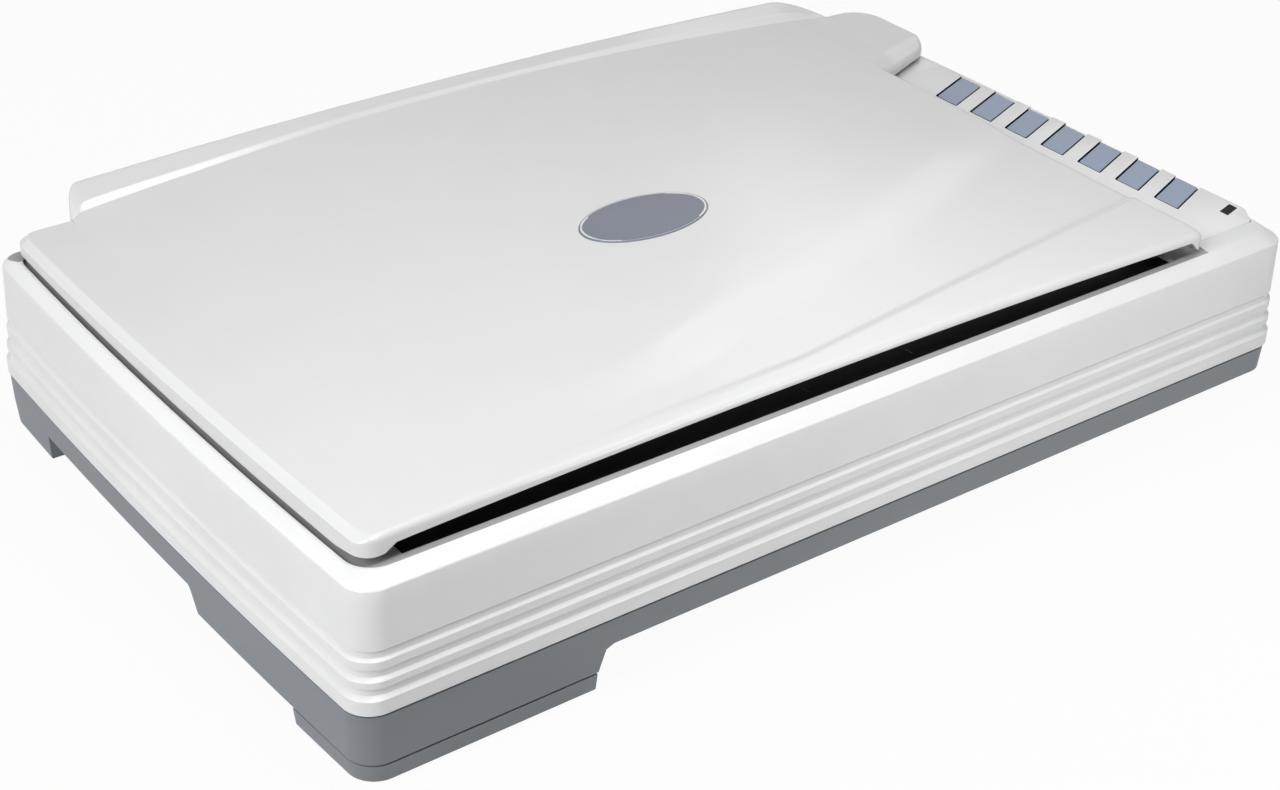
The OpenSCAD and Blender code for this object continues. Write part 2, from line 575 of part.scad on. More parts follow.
// Lift posts in their sleeves, hinge pins and lid
module sleeve(x) difference() {
    box(x - post_w / 2 - 2.3, x + post_w / 2 + 2.3, post_y0 - 2.2, post_y1 + 2.3,
        z_under - post_lift - 19, z_under);
    sleeve_hole(x, 0.3, 0, 300);
}
module hinge_sleeves() color([0.30, 0.31, 0.33]) for (x = post_x) sleeve(x);
module post(x) difference() {
    union() {
        box(x - post_w / 2, x + post_w / 2, post_y0, post_y1, z_under - post_lift - 17, lid_z0 + 7.5);
        box(x - post_w / 2, x + post_w / 2, post_y0, axis_y, lid_z0 + 0.5, lid_z0 + 7.5);
        rod_x(x - post_w / 2, x + post_w / 2, axis_y, axis_z, 11);
    }
    rod_x(x - 30, x + 30, axis_y, axis_z, pin_d);
}
module hinge_posts() color([0.86, 0.86, 0.86]) for (x = post_x) post(x);
module hinge_pins() color([0.75, 0.76, 0.78]) for (x = post_x) rod_x(x - 20, x + 20, axis_y, axis_z, pin_d);
module ridge_plan(g) polygon([[y_b - 9 + g, lid_z0 - g], [y_b - 9 + g, lid_z1 - g],
    [y_b - 7 + g, lid_z1 + 0.6 - g], [y_b - 2 + g, lid_z1 + ridge_h / 3 - g],
    [y_b + 2 + g / 2, lid_z1 + ridge_h - g], [y_b + 12 - g / 2, lid_z1 + ridge_h - g],
    [y_b + 17 - g, lid_z1 + ridge_h - 4 - g / 2], [y_b + ridge_out - g, lid_z1 + 0.5],
    [y_b + ridge_out - g, axis_z - 5 - g], [y_b + 9, lid_z0 - g]]);
module lid_plan(g) polygon([for (p = concat(arc(lid_x1 - 6, y_b - 13, 6 - g, 0, 90),
    arc(lid_x0 + 20, y_b - 27, 20 - g, 90, 180), side(lid_x0 + g, y_b - 40, lid_y0 + 30),
    arc(lid_x0 + 20, lid_y0 + 20, 20 - g, 180, 270),
    [for (k = [1:11]) [lid_x0 + 20 + (lid_x1 - lid_x0 - 30) * k / 12,
        lid_y0 + g + 5.5 * (1 - pow(k / 6 - 1, 2))]],
    arc(lid_x1 - 8, lid_y0 + 8, 8 - g, 270, 360)))
        [p[0] - (p[0] < -hw / 2 ? bow * (1 - pow((p[1] + y_mid) / hd, 2)) : 0), p[1]]]);
module ear_plan(g) polygon(concat([[lid_x1 - 12 + g, ear_y - 4 + g], [lid_x1 + g, ear_y + g]],
    arc(ear_x1 - 20, ear_y + 40, 20 - g, -70, 0), arc(ear_x1 - 14, y_b - 11, 14 - g, 0, 90),
    [[lid_x1 - 12 + g, y_b + 3 - g]]));
module lid_shell() color([0.94, 0.94, 0.94]) difference() {
    union() {
        translate([0, 0, lid_z0]) linear_extrude(lid_t) lid_plan(0);
        translate([0, 0, lid_z0 + 0.6]) linear_extrude(lid_t - 3) ear_plan(0);
        along_x(ridge_x0, ridge_x1) ridge_plan(0);
    }
    difference() {
        translate([0, 0, lid_z0 - 1]) linear_extrude(lid_t - wall + 1) lid_plan(wall);
        at(lid_bosses, lid_z0 + 4) cylinder(d = 8, h = 30);
    }
    translate([0, 0, lid_z0 - 1]) linear_extrude(lid_t - wall - 1.4) ear_plan(wall);
    along_x(ridge_x0 + wall, ridge_x1 - wall) ridge_plan(wall);
    box(lid_x0 + 34, lid_x1 - 14, lid_y0 - 5, lid_y0 + 12, lid_z0 - 1, lid_z0 + 6);
    for (x = post_x) box(x - post_w / 2 - 1, x + post_w / 2 + 1, y_b - 20, y_b, lid_z0 - 1, lid_z0 + 9);
    box(-hw, hw, y_b + 7, y_b + 30, lid_z0 - 1, axis_z - 5);
    at(lid_bosses, lid_z0) cylinder(d = 2.6, h = 9);
    translate([0, 0, lid_z1 - 0.6]) linear_extrude(3) badge_plan(0.2);
}
module badge_plan(g) polygon([for (a = [0:6:359]) [badge_x + (badge_w / 2 + g) * cos(a),
    badge_y + (badge_d / 2 + g) * sin(a)]]);
module lid_badge() color([0.52, 0.55, 0.60])
    translate([0, 0, lid_z1 - 0.6]) linear_extrude(1.4) badge_plan(0);
module lid_liner() color([0.90, 0.90, 0.90]) difference() {
    box(lid_x0 + 6, lid_x1 - 5, lid_y0 + 13, y_b - 32, lid_z0 + 2, lid_z0 + 4);
    at(lid_bosses, 0) cylinder(d = 3.2, h = 300);
}
module document_pad() color([0.97, 0.97, 0.97]) difference() {
    box(plat_x0 + 6, plat_x1 - 6, win_y0 + 1.5, plat_y1 - 4, z_under + 0.3, lid_z0 + 2);
    at(lid_bosses, lid_z0 - 1) cylinder(d = 8, h = 5);
}
module lid_screws() color([0.72, 0.72, 0.74]) at(lid_bosses, lid_z0 + 0.4) {
    cylinder(d = 6, h = 1.6);
    cylinder(d = 2.6, h = 8);
}
module lid_bumpers() color([0.15, 0.15, 0.16])
    at(bumpers, z_deck + 0.2) cylinder(d = 8, h = lid_z0 + 2 - z_deck - 0.2);
module lid_knuckles() color([0.80, 0.80, 0.81]) for (x = post_x, s = [-1, 1]) {
    a = s > 0 ? x + post_w / 2 + 0.3 : x - post_w / 2 - 6.3;
    difference() {
        union() {
            rod_x(a, a + 6, axis_y, axis_z, 11);
            box(a, a + 6, axis_y - 3, axis_y + 3, axis_z, lid_z1 + ridge_h - wall);
        }
        rod_x(a - 1, a + 7, axis_y, axis_z, pin_d + 0.1);
    }
}

base_pan();
plinth_blocks();
socket_plate();
riser_foot();
inset_feet();
rubber_pads();
upper_housing();
button_panel();
platen_glass();
platen_mask();
calibration_strip();
guide_rod();
rod_holders();
support_rail();
drive_motor();
motor_bracket();
belt_shafts();
idler_bracket();
tension_spring();
drive_belt();
main_board();
usb_socket();
power_socket();
flat_cable();
key_board();
key_switches();
indicator_window();
hinge_sleeves();
housing_screws();
board_screws();
motor_pinion();
drive_gear();
drive_pulley();
idler_pulley();
carriage_frame();
carriage_cover();
lamp_bar();
lamp_reflector();
mirrors();
lens_barrel();
sensor_board();
rod_bushes();
slide_pad();
belt_clamp();
hinge_posts();
hinge_pins();
lid_shell();
lid_liner();
document_pad();
lid_badge();
lid_knuckles();
lid_bumpers();
lid_screws();
key_1();
key_2();
key_3();
key_4();
key_5();
key_6();
key_7();
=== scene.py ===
"""Looks of a large flatbed book scanner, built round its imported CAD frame.

Shapes are written in millimetres in the CAD frame: +X to the right along the front,
+Y to the back, +Z up, floor at 0. They are turned into metres where a mesh is made.
"""

import math

import bmesh
import bpy
import numpy as np
from mathutils import Matrix, Vector


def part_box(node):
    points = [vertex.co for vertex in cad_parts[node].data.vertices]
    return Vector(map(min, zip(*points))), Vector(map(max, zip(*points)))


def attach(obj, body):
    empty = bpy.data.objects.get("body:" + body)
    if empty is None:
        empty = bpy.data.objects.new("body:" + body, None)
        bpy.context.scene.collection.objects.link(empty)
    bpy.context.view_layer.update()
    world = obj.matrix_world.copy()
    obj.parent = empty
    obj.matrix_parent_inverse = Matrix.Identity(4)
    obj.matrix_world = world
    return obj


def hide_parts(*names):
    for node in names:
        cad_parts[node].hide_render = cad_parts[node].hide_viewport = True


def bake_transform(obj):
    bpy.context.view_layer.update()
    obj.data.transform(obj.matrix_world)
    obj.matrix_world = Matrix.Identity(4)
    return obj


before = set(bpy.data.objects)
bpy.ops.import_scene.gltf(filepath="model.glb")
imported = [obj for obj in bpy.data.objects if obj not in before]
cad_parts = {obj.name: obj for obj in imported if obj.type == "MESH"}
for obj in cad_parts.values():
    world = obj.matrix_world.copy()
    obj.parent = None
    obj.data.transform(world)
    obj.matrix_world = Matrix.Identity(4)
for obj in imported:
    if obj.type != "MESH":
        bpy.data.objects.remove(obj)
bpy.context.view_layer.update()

MM = 0.001

# Plan of the body: a rectangle with swelling left and right walls, its middle Y_MID in front of y = 0
HALF_W, HALF_D = 305.0, 186.0
Y_MID = 8.15
BOW = 4.4
CORNER = 14.0
Y_FRONT, Y_BACK = -HALF_D - Y_MID, HALF_D - Y_MID

# Heights of the riser's top, the plinth's cut-outs, the pan's floor and the seam above the plinth
Z_FOOT, Z_CUT, Z_PAN, Z_SEAM = 12.5, 27.5, 30.0, 43.5
# Heights of the crease round the housing, and of its deck's underside and top and its rim
Z_CREASE, Z_UNDER, Z_DECK, Z_RIM = 109.0, 108.5, 111.0, 113.5

WALL = 2.5
PLATEN = (-273.0, 226.6, -180.5, 149.85)
PANEL_X0, PANEL_FRONT, PANEL_BACK = 247.5, Y_FRONT + 21, 88.2
TAB_X = (105.0, 200.0)
POST_X, POST_Y, POST_W = (-220.0, 190.0), (159.85, 169.85), 24.0

# Play round a piece that stands in an opening, and how far cutting tools run to the sides and up
FIT = 0.3
FAR, OVER = 400.0, 140.0


# Mesh helpers

def shade(mesh, sharp):
    """Smooth shading, but for edges over sharp degrees."""
    mesh.polygons.foreach_set("use_smooth", [True] * len(mesh.polygons))
    mesh.set_sharp_from_angle(angle=math.radians(sharp))
    mesh.update()


def new_piece(name, verts, faces, material=None, sharp=32):
    """A mesh object from points in millimetres."""
    mesh = bpy.data.meshes.new(name)
    mesh.from_pydata([tuple(MM * float(c) for c in v) for v in verts], [], [list(f) for f in faces])
    mesh.validate()
    shade(mesh, sharp)
    obj = bpy.data.objects.new(name, mesh)
    bpy.context.scene.collection.objects.link(obj)
    if material:
        mesh.materials.append(material)
    return obj


def paint(obj, *materials):
    """Gives obj these materials and no others."""
    obj.data.materials.clear()
    for material in materials:
        obj.data.materials.append(material)


def paint_some(obj, first, second, test):
    """Paints the faces that pass the test in the second material and the rest in the first."""
    paint(obj, first, second)
    for face in obj.data.polygons:
        face.material_index = int(test(face))


def place(obj, body, slot, *nodes):
    """Rides obj on a body and lets it stand for CAD nodes; slot, the name of its finish, is not used.
    """
    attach(obj, body)
    if nodes:
        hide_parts(*nodes)


def baked(obj, sharp=32):
    """Applies obj's modifiers to its mesh."""
    bpy.context.view_layer.update()
    graph = bpy.context.evaluated_depsgraph_get()
    mesh = bpy.data.meshes.new_from_object(obj.evaluated_get(graph))
    obj.modifiers.clear()
    obj.data = mesh
    shade(mesh, sharp)
    return obj


def outward(obj):
    """Turns the faces of a closed solid outward."""
    work = bmesh.new()
    work.from_mesh(obj.data)
    bmesh.ops.recalc_face_normals(work, faces=work.faces)
    work.to_mesh(obj.data)
    work.free()
    return obj


def combine(obj, others, operation="DIFFERENCE", sharp=32):
    """Cuts other solids out of obj, or joins them to it, and removes them."""
    for other in others:
        step = obj.modifiers.new("combine", "BOOLEAN")
        step.operation, step.solver, step.object = operation, "EXACT", other
        baked(obj, sharp)
        bpy.data.objects.remove(other)
    return obj


def rounded(obj, width, segments=3, angle=40, sharp=32):
    """Rounds the edges of obj that are sharper than angle."""
    step = obj.modifiers.new("round", "BEVEL")
    step.width, step.segments, step.angle_limit = width * MM, segments, math.radians(angle)
    step.limit_method, step.harden_normals = "ANGLE", False
    return baked(obj, sharp)


def loft(rings):
    """Points and faces of a closed skin through equal rings."""
    n = len(rings[0])
    verts = np.concatenate(rings)
    faces = []
    for k in range(len(rings) - 1):
        a, b = k * n, (k + 1) * n
        faces += [(a + i, a + (i + 1) % n, b + (i + 1) % n, b + i) for i in range(n)]
    faces.append(tuple(reversed(range(n))))
    faces.append(tuple(range(len(verts) - n, len(verts))))
    return verts, faces


def prism(points, z0, z1):
    """An upright solid over a plan outline given anticlockwise."""
    low = np.array([(x, y, z0) for x, y in points], float)
    return new_piece("tool", *loft([low, low + (0, 0, z1 - z0)]))


def block(x0, x1, y0, y1, z0, z1):
    """An upright box."""
    return prism([(x0, y0), (x1, y0), (x1, y1), (x0, y1)], z0, z1)


def disc(x, y, d, z0, z1, steps=32):
    """An upright cylinder."""
    turn = [2 * math.pi * k / steps for k in range(steps)]
    return prism([(x + d / 2 * math.cos(a), y + d / 2 * math.sin(a)) for a in turn], z0, z1)


def side_tool(profile, along_axis, a0, a1):
    """A solid over a profile of (across, z), run along x or y from a0 to a1."""
    ends = [np.array([(a, p, z) if along_axis == "x" else (p, a, z) for p, z in profile], float)
            for a in (a0, a1)]
    tool = new_piece("tool", *loft(ends))
    step = tool.modifiers.new("weld", "WELD")
    step.merge_threshold = 1e-7
    return outward(baked(tool))


def arc(cx, cy, r, a0, a1, steps=12):
    """Plan points along a circle between two angles in degrees."""
    angles = np.radians(np.linspace(a0, a1, steps + 1))
    return np.stack([cx + r * np.cos(angles), cy + r * np.sin(angles)], 1)


def ring(z, left, right=None, front=None, back=None):
    """The body's bowed outline at height z, moved out by the given amounts on its four sides."""
    right, front, back = (left if v is None else v for v in (right, front, back))
    x0, x1, y0, y1 = -HALF_W - left, HALF_W + right, -HALF_D - front, HALF_D + back
    r = CORNER
    plan = np.concatenate([
        arc(x1 - r, y1 - r, r, 0, 90),
        np.linspace((x1 - r, y1), (x0 + r, y1), 14)[1:-1],
        arc(x0 + r, y1 - r, r, 90, 180),
        np.linspace((x0, y1 - r), (x0, y0 + r), 26)[1:-1],
        arc(x0 + r, y0 + r, r, 180, 270),
        np.linspace((x0 + r, y0), (x1 - r, y0), 14)[1:-1],
        arc(x1 - r, y0 + r, r, 270, 360),
        np.linspace((x1, y0 + r), (x1, y1 - r), 26)[1:-1]])
    depth = np.where(plan[:, 1] > 0, y1, -y0)
    swell = BOW * (1 - (plan[:, 1] / depth) ** 2)
    x = plan[:, 0] + np.sign(plan[:, 0]) * swell
    return np.stack([x, plan[:, 1] - Y_MID, np.full(len(x), z)], 1)


def outline_rings(rows):
    """Rings of the body's outline from rows of (outward offset, height)."""
    return [ring(z, offset) for offset, z in rows]


def round_corners(points, radius, steps=4):
    """Rounds the corners of a plan outline with curves that start a radius away from each."""
    points = [np.array(p, float) for p in points]
    out = []
    for k, p in enumerate(points):
        before, after = points[k - 1] - p, points[(k + 1) % len(points)] - p
        a, b = (p + v / np.linalg.norm(v) * radius for v in (before, after))
        for t in np.linspace(0, 1, steps + 1):
            out.append((1 - t) ** 2 * a + 2 * t * (1 - t) * p + t * t * b)
    return np.array(out)


def ease(value, start, end):
    """0 up to start, 1 from end on and a smooth rise between; start may be the larger of the two."""
    t = np.clip((value - start) / (end - start), 0, 1)
    return t * t * (3 - 2 * t)


def along(points, shares):
    """Points at the given shares of a line's length."""
    run = np.concatenate([[0], np.cumsum(np.linalg.norm(np.diff(points, axis=0), axis=1))])
    return np.stack([np.interp(np.asarray(shares) * run[-1], run, points[:, k]) for k in (0, 1)], 1)


def gap_to_line(x, y, line):
    """Distance from each point to a line of plan points."""
    best = np.full(np.shape(x), 1e9)
    for (ax, ay), (bx, by) in zip(line[:-1], line[1:]):
        dx, dy = bx - ax, by - ay
        t = np.clip(((x - ax) * dx + (y - ay) * dy) / max(dx * dx + dy * dy, 1e-9), 0, 1)
        best = np.minimum(best, np.hypot(x - ax - t * dx, y - ay - t * dy))
    return best


# Material helpers

def node_material(name):
    """A new material with its node tree and its shader."""
    material = bpy.data.materials.new(name)
    material.use_nodes = True
    tree = material.node_tree
    return material, tree, tree.nodes["Principled BSDF"]


def add_node(tree, kind, **inputs):
    """A new node with values on its inputs."""
    node = tree.nodes.new(kind)
    for key, value in inputs.items():
        node.inputs[key].default_value = value
    return node


def object_place(tree):
    return tree.nodes.new("ShaderNodeTexCoord").outputs["Object"]


def noise(tree, scale, detail=3.0):
    """Soft noise that stays with the object."""
    node = add_node(tree, "ShaderNodeTexNoise", Scale=scale, Detail=detail, Roughness=0.55)
    tree.links.new(object_place(tree), node.inputs["Vector"])
    return node.outputs["Fac"]


def ramp(tree, source, low, high, start=0.3, end=0.7):
    """A blend between two colours where source runs from start to end."""
    node = tree.nodes.new("ShaderNodeValToRGB")
    for stop, position, colour in zip(node.color_ramp.elements, (start, end), (low, high)):
        stop.position, stop.color = position, colour
    tree.links.new(source, node.inputs["Fac"])
    return node.outputs["Color"]


def spread(tree, source, low, high):
    """A number from low to high where source runs over the middle of its range."""
    node = tree.nodes.new("ShaderNodeMapRange")
    for key, value in (("From Min", 0.3), ("From Max", 0.7), ("To Min", low), ("To Max", high)):
        node.inputs[key].default_value = value
    tree.links.new(source, node.inputs["Value"])
    return node.outputs["Result"]


def shades(colour, by):
    """A colour a little darker and a little lighter than the given one."""
    return [max(0, c * (1 - by)) for c in colour] + [1], [min(1, c * (1 + by)) for c in colour] + [1]


def bump(tree, shader, source, depth_mm):
    """Lets source raise the surface by up to depth_mm."""
    node = add_node(tree, "ShaderNodeBump", Strength=1.0, Distance=depth_mm * MM)
    tree.links.new(source, node.inputs["Height"])
    tree.links.new(node.outputs["Normal"], shader.inputs["Normal"])


def moulded(name, colour, roughness, grain=1400, depth=0.02, cloud=0.02, specular=0.5):
    """Moulded plastic: spark-eroded grain, slow clouds of tone and uneven gloss."""
    material, tree, shader = node_material(name)
    low, high = shades(colour, cloud)
    tree.links.new(ramp(tree, noise(tree, 18, 4), low, high), shader.inputs["Base Color"])
    fine = noise(tree, grain, 2)
    tree.links.new(spread(tree, fine, roughness - 0.05, roughness + 0.05), shader.inputs["Roughness"])
    shader.inputs["Specular IOR Level"].default_value = specular
    bump(tree, shader, fine, depth)
    return material


def metal(name, colour, roughness, stretch=(1, 60, 60)):
    """Ground or plated metal with fine lines along one direction."""
    material, tree, shader = node_material(name)
    scale = add_node(tree, "ShaderNodeMapping", Scale=stretch)
    tree.links.new(object_place(tree), scale.inputs["Vector"])
    node = add_node(tree, "ShaderNodeTexNoise", Scale=40.0, Detail=4.0)
    tree.links.new(scale.outputs["Vector"], node.inputs["Vector"])
    lines = node.outputs["Fac"]
    low, high = shades(colour, 0.06)
    tree.links.new(ramp(tree, lines, low, high), shader.inputs["Base Color"])
    tree.links.new(spread(tree, lines, roughness - 0.06, roughness + 0.08), shader.inputs["Roughness"])
    shader.inputs["Metallic"].default_value = 1.0
    bump(tree, shader, lines, 0.01)
    return material


def striped(name, base, line, spacing_mm, axis, roughness, metallic=0.0, depth=0.05):
    """Fine parallel lines across one axis: ribbon conductors, belt teeth, spring turns."""
    material, tree, shader = node_material(name)
    wave = add_node(tree, "ShaderNodeTexWave", Scale=2 * math.pi / 20 / (spacing_mm * MM))
    wave.bands_direction = axis
    tree.links.new(object_place(tree), wave.inputs["Vector"])
    lines = wave.outputs["Fac"]
    tree.links.new(ramp(tree, lines, list(base) + [1], list(line) + [1], 0.35, 0.65),
                   shader.inputs["Base Color"])
    tree.links.new(spread(tree, noise(tree, 900), roughness - 0.06, roughness + 0.06),
                   shader.inputs["Roughness"])
    shader.inputs["Metallic"].default_value = metallic
    bump(tree, shader, lines, depth)
    return material


def board(name, colour):
    """A circuit board: lacquer with fine tracks and pads."""
    material, tree, shader = node_material(name)
    cells = add_node(tree, "ShaderNodeTexVoronoi", Scale=170.0)
    cells.distance = "MANHATTAN"
    tree.links.new(object_place(tree), cells.inputs["Vector"])
    dark = [0.55 * c for c in colour] + [1]
    light = [min(1, 1.7 * c) for c in colour] + [1]
    tracks = ramp(tree, cells.outputs["Distance"], light, dark, 0.35, 0.6)
    tree.links.new(tracks, shader.inputs["Base Color"])
    tree.links.new(spread(tree, noise(tree, 300), 0.25, 0.4), shader.inputs["Roughness"])
    bump(tree, shader, cells.outputs["Distance"], 0.04)
    return material


def clear_glass():
    """Faintly green glass with a trace of haze."""
    material, tree, shader = node_material("glass")
    tree.links.new(ramp(tree, noise(tree, 6), (0.93, 0.97, 0.95, 1), (0.97, 0.99, 0.98, 1)),
                   shader.inputs["Base Color"])
    tree.links.new(spread(tree, noise(tree, 30), 0.0, 0.03), shader.inputs["Roughness"])
    shader.inputs["Transmission Weight"].default_value = 1.0
    shader.inputs["IOR"].default_value = 1.5
    return material


# Materials of the outside

WHITE = (0.83, 0.832, 0.835)
LID_WHITE = [0.9 * c for c in WHITE]

white_housing = moulded("housing_white", WHITE, 0.32, grain=1700, depth=0.007, specular=0.7)
white_lid = moulded("lid_white", LID_WHITE, 0.2, grain=2200, depth=0.003, cloud=0.012, specular=0.8)
# Painted shade: a mid grey for the sunk deck, standing in for the shade it lies in under the lid
deck_painted_shade = moulded("deck_painted_shade", (0.4, 0.4, 0.402), 0.6,
                    grain=1500, depth=0.01, cloud=0.03, specular=0.3)
slate_base = moulded("plinth_slate", (0.215, 0.235, 0.262), 0.5, grain=1500, depth=0.02, cloud=0.03)
key_blue = moulded("key_blue_grey", (0.268, 0.328, 0.45), 0.4, grain=2000, depth=0.008, cloud=0.03)
badge_slate = moulded("badge_slate", (0.17, 0.19, 0.24), 0.42, grain=2600, depth=0.004, cloud=0.04)
black_gloss = moulded("window_black", (0.004, 0.004, 0.005), 0.4,
                      grain=2600, depth=0.002, cloud=0.2, specular=0.05)
# Painted shade: a near black for the walls of the narrow gaps round the keys, which lie in shadow
gap_painted_shade = moulded("gap_shadow", (0.02, 0.02, 0.022), 0.8,
                    grain=1500, depth=0.02, cloud=0.1, specular=0.1)
print_black = moulded("mask_print", (0.004, 0.004, 0.004), 0.4,
                      grain=2600, depth=0.002, cloud=0.2, specular=0.15)
mark_grey = moulded("mark_ink", (0.09, 0.09, 0.092), 0.6, grain=2500, depth=0.003, cloud=0.08)
rubber = moulded("rubber", (0.022, 0.022, 0.024), 0.75, grain=900, depth=0.06, cloud=0.15)
glass = clear_glass()

# Materials under the lid and inside

pad_white = moulded("pad_film", (0.82, 0.82, 0.81), 0.5, grain=700, depth=0.03)
liner_white = moulded("liner_white", (0.74, 0.74, 0.74), 0.5, grain=1100, depth=0.03)
strip_grey = moulded("strip_paper", (0.66, 0.66, 0.66), 0.7, grain=1800, depth=0.01)
lamp_glass = moulded("lamp_glass", (0.86, 0.86, 0.82), 0.15, grain=300, depth=0.004)
black_plastic = moulded("plastic_black", (0.016, 0.016, 0.018), 0.45,
                        grain=1300, depth=0.03, cloud=0.12)
grey_plastic = moulded("plastic_grey", (0.07, 0.072, 0.08), 0.45, grain=1300, depth=0.03, cloud=0.08)
natural_plastic = moulded("plastic_natural", (0.72, 0.71, 0.66), 0.38, grain=1200, cloud=0.04)
steel = metal("steel_ground", (0.62, 0.63, 0.65), 0.28)
steel_dark = metal("steel_screw", (0.34, 0.34, 0.35), 0.35, (40, 40, 8))
steel_plate = metal("steel_plated", (0.58, 0.59, 0.60), 0.34, (30, 8, 30))
brass = metal("brass", (0.78, 0.58, 0.26), 0.3, (40, 40, 10))
mirror_glass = metal("mirror", (0.86, 0.88, 0.90), 0.12, (20, 4, 20))
ribbon_white = striped("ribbon", (0.70, 0.70, 0.66), (0.52, 0.53, 0.52), 1.0, "Y", 0.4)
belt_black = striped("belt_teeth", (0.012, 0.012, 0.013), (0.05, 0.05, 0.052), 2.0, "X", 0.7, depth=0.3)
spring_steel = striped("spring_turns", (0.14, 0.14, 0.15), (0.66, 0.67, 0.69), 1.1, "X", 0.35,
                       metallic=1.0, depth=0.2)
board_green = board("board_lacquer", (0.018, 0.10, 0.045))


# Camera and light, in metres

CAMERA_AT = (-0.71519, -0.90055, 0.70405)
CAMERA_RIGHT, CAMERA_DOWN = (0.7973, -0.6025, 0.0361), (-0.2869, -0.4308, -0.8557)
SENSOR_MM, LENS_MM = 36.0, 65.94
AMBIENT = 0.04
FLOOR_HALF, FLOOR_TONE, FLOOR_GLOW = 6000, (0.65, 0.65, 0.65, 1), 0.95
LIGHTS = (  # name, place, aim, size, power
    ("left_box", (-1.8, -0.4, 1.28), (-0.1, -0.05, 0.1), (1.1, 1.1), 29.5),
    ("near_box", (-0.2, -0.36, 0.72), (-0.15, -0.13, 0.12), (0.35, 0.35), 2.2),
    ("top_box", (1.05, 0.0, 1.45), (0, 0, 0.1), (1.7, 0.6), 3.4),
    ("ridge_box", (0.28, 0.256, 1.45), (-0.2, 0.18, 0.13), (0.42, 0.16), 1.6),
    ("front_box", (0.2, -0.58, 0.22), (0.1, -0.19, 0.08), (0.3, 0.15), 0.62),
    ("back_box", (1.5, 1.0, 1.3), (0, -0.05, 0.13), (0.9, 0.5), 1.6),
    ("rear_box", (-0.98, 1.25, 0.85), (-0.3, 0, 0.12), (1.0, 0.5), 0.9),
)


def make_camera():
    """The photo's view: from the front left and above."""
    data = bpy.data.cameras.new("camera")
    data.sensor_width, data.lens = SENSOR_MM, LENS_MM
    data.clip_start, data.clip_end = 0.05, 30
    camera = bpy.data.objects.new("camera", data)
    bpy.context.scene.collection.objects.link(camera)
    right = Vector(CAMERA_RIGHT).normalized()
    down = Vector(CAMERA_DOWN)
    down = (down - right * down.dot(right)).normalized()
    turn = Matrix((right, -down, -right.cross(down))).transposed().to_4x4()
    camera.matrix_world = Matrix.Translation(CAMERA_AT) @ turn
    bpy.context.scene.camera = camera


def seen_directly(tree):
    """1 for rays that show the backdrop itself, in the picture or mirrored in metal and glass."""
    path = tree.nodes.new("ShaderNodeLightPath")
    total = path.outputs["Is Camera Ray"]
    for name in ("Is Glossy Ray", "Is Transmission Ray"):
        node = tree.nodes.new("ShaderNodeMath")
        node.operation, node.use_clamp = "ADD", True
        tree.links.new(total, node.inputs[0])
        tree.links.new(path.outputs[name], node.inputs[1])
        total = node.outputs[0]
    return total


def mix_shaders(tree, share, first, second, output):
    """Sends a mix of two shaders to the surface of the tree's output node."""
    mix = tree.nodes.new("ShaderNodeMixShader")
    tree.links.new(share, mix.inputs["Fac"])
    tree.links.new(first.outputs[0], mix.inputs[1])
    tree.links.new(second.outputs[0], mix.inputs[2])
    tree.links.new(mix.outputs[0], tree.nodes[output].inputs["Surface"])


def make_world():
    """A white backdrop that gives little light of its own."""
    world = bpy.data.worlds.new("studio")
    world.use_nodes = True
    tree = world.node_tree
    plain = tree.nodes["Background"]
    plain.inputs["Color"].default_value, plain.inputs["Strength"].default_value = (1, 1, 1, 1), AMBIENT
    white = add_node(tree, "ShaderNodeBackground", Color=(1, 1, 1, 1), Strength=1.0)
    mix_shaders(tree, seen_directly(tree), plain, white, "World Output")
    bpy.context.scene.world = world


def make_floor():
    """A pale floor that looks white but still takes the object's shadow."""
    material, tree, standard = node_material("floor_pale")
    tree.nodes.remove(standard)
    matt = add_node(tree, "ShaderNodeBsdfDiffuse", Color=FLOOR_TONE)
    glow = add_node(tree, "ShaderNodeEmission", Color=(1, 1, 1, 1), Strength=1.0)
    share = tree.nodes.new("ShaderNodeMath")
    share.operation = "MULTIPLY"
    share.inputs[1].default_value = FLOOR_GLOW
    tree.links.new(seen_directly(tree), share.inputs[0])
    mix_shaders(tree, share.outputs[0], matt, glow, "Material Output")
    corners = [(x * FLOOR_HALF, y * FLOOR_HALF, 0) for x, y in ((-1, -1), (1, -1), (1, 1), (-1, 1))]
    new_piece("floor", corners, [(0, 1, 2, 3)], material)


def make_lights():
    for name, at, aim, size, power in LIGHTS:
        data = bpy.data.lights.new(name, "AREA")
        data.shape, data.size, data.size_y, data.energy = "RECTANGLE", size[0], size[1], power
        light = bpy.data.objects.new(name, data)
        bpy.context.scene.collection.objects.link(light)
        light.location = at
        light.rotation_euler = (Vector(aim) - Vector(at)).to_track_quat("-Z", "Y").to_euler()


bpy.context.scene.view_settings.view_transform = "Standard"
make_camera()
make_world()
make_floor()
make_lights()


# Upper housing: drafted walls with three grooves, a sloping rim and a sunk deck

# Per groove: wall offset and height where it starts, offset and height of its scoop, height where it
# ends and wall offset above it
GROOVES = ((2.7, 51.6, 0.75, 53.5, 57.8, 1.9), (1.9, 61.4, 0.25, 63.0, 67.4, 1.2),
           (1.2, 71.8, -0.1, 73.1, 77.3, 0.65))
SLIT_DEPTH = 1.6
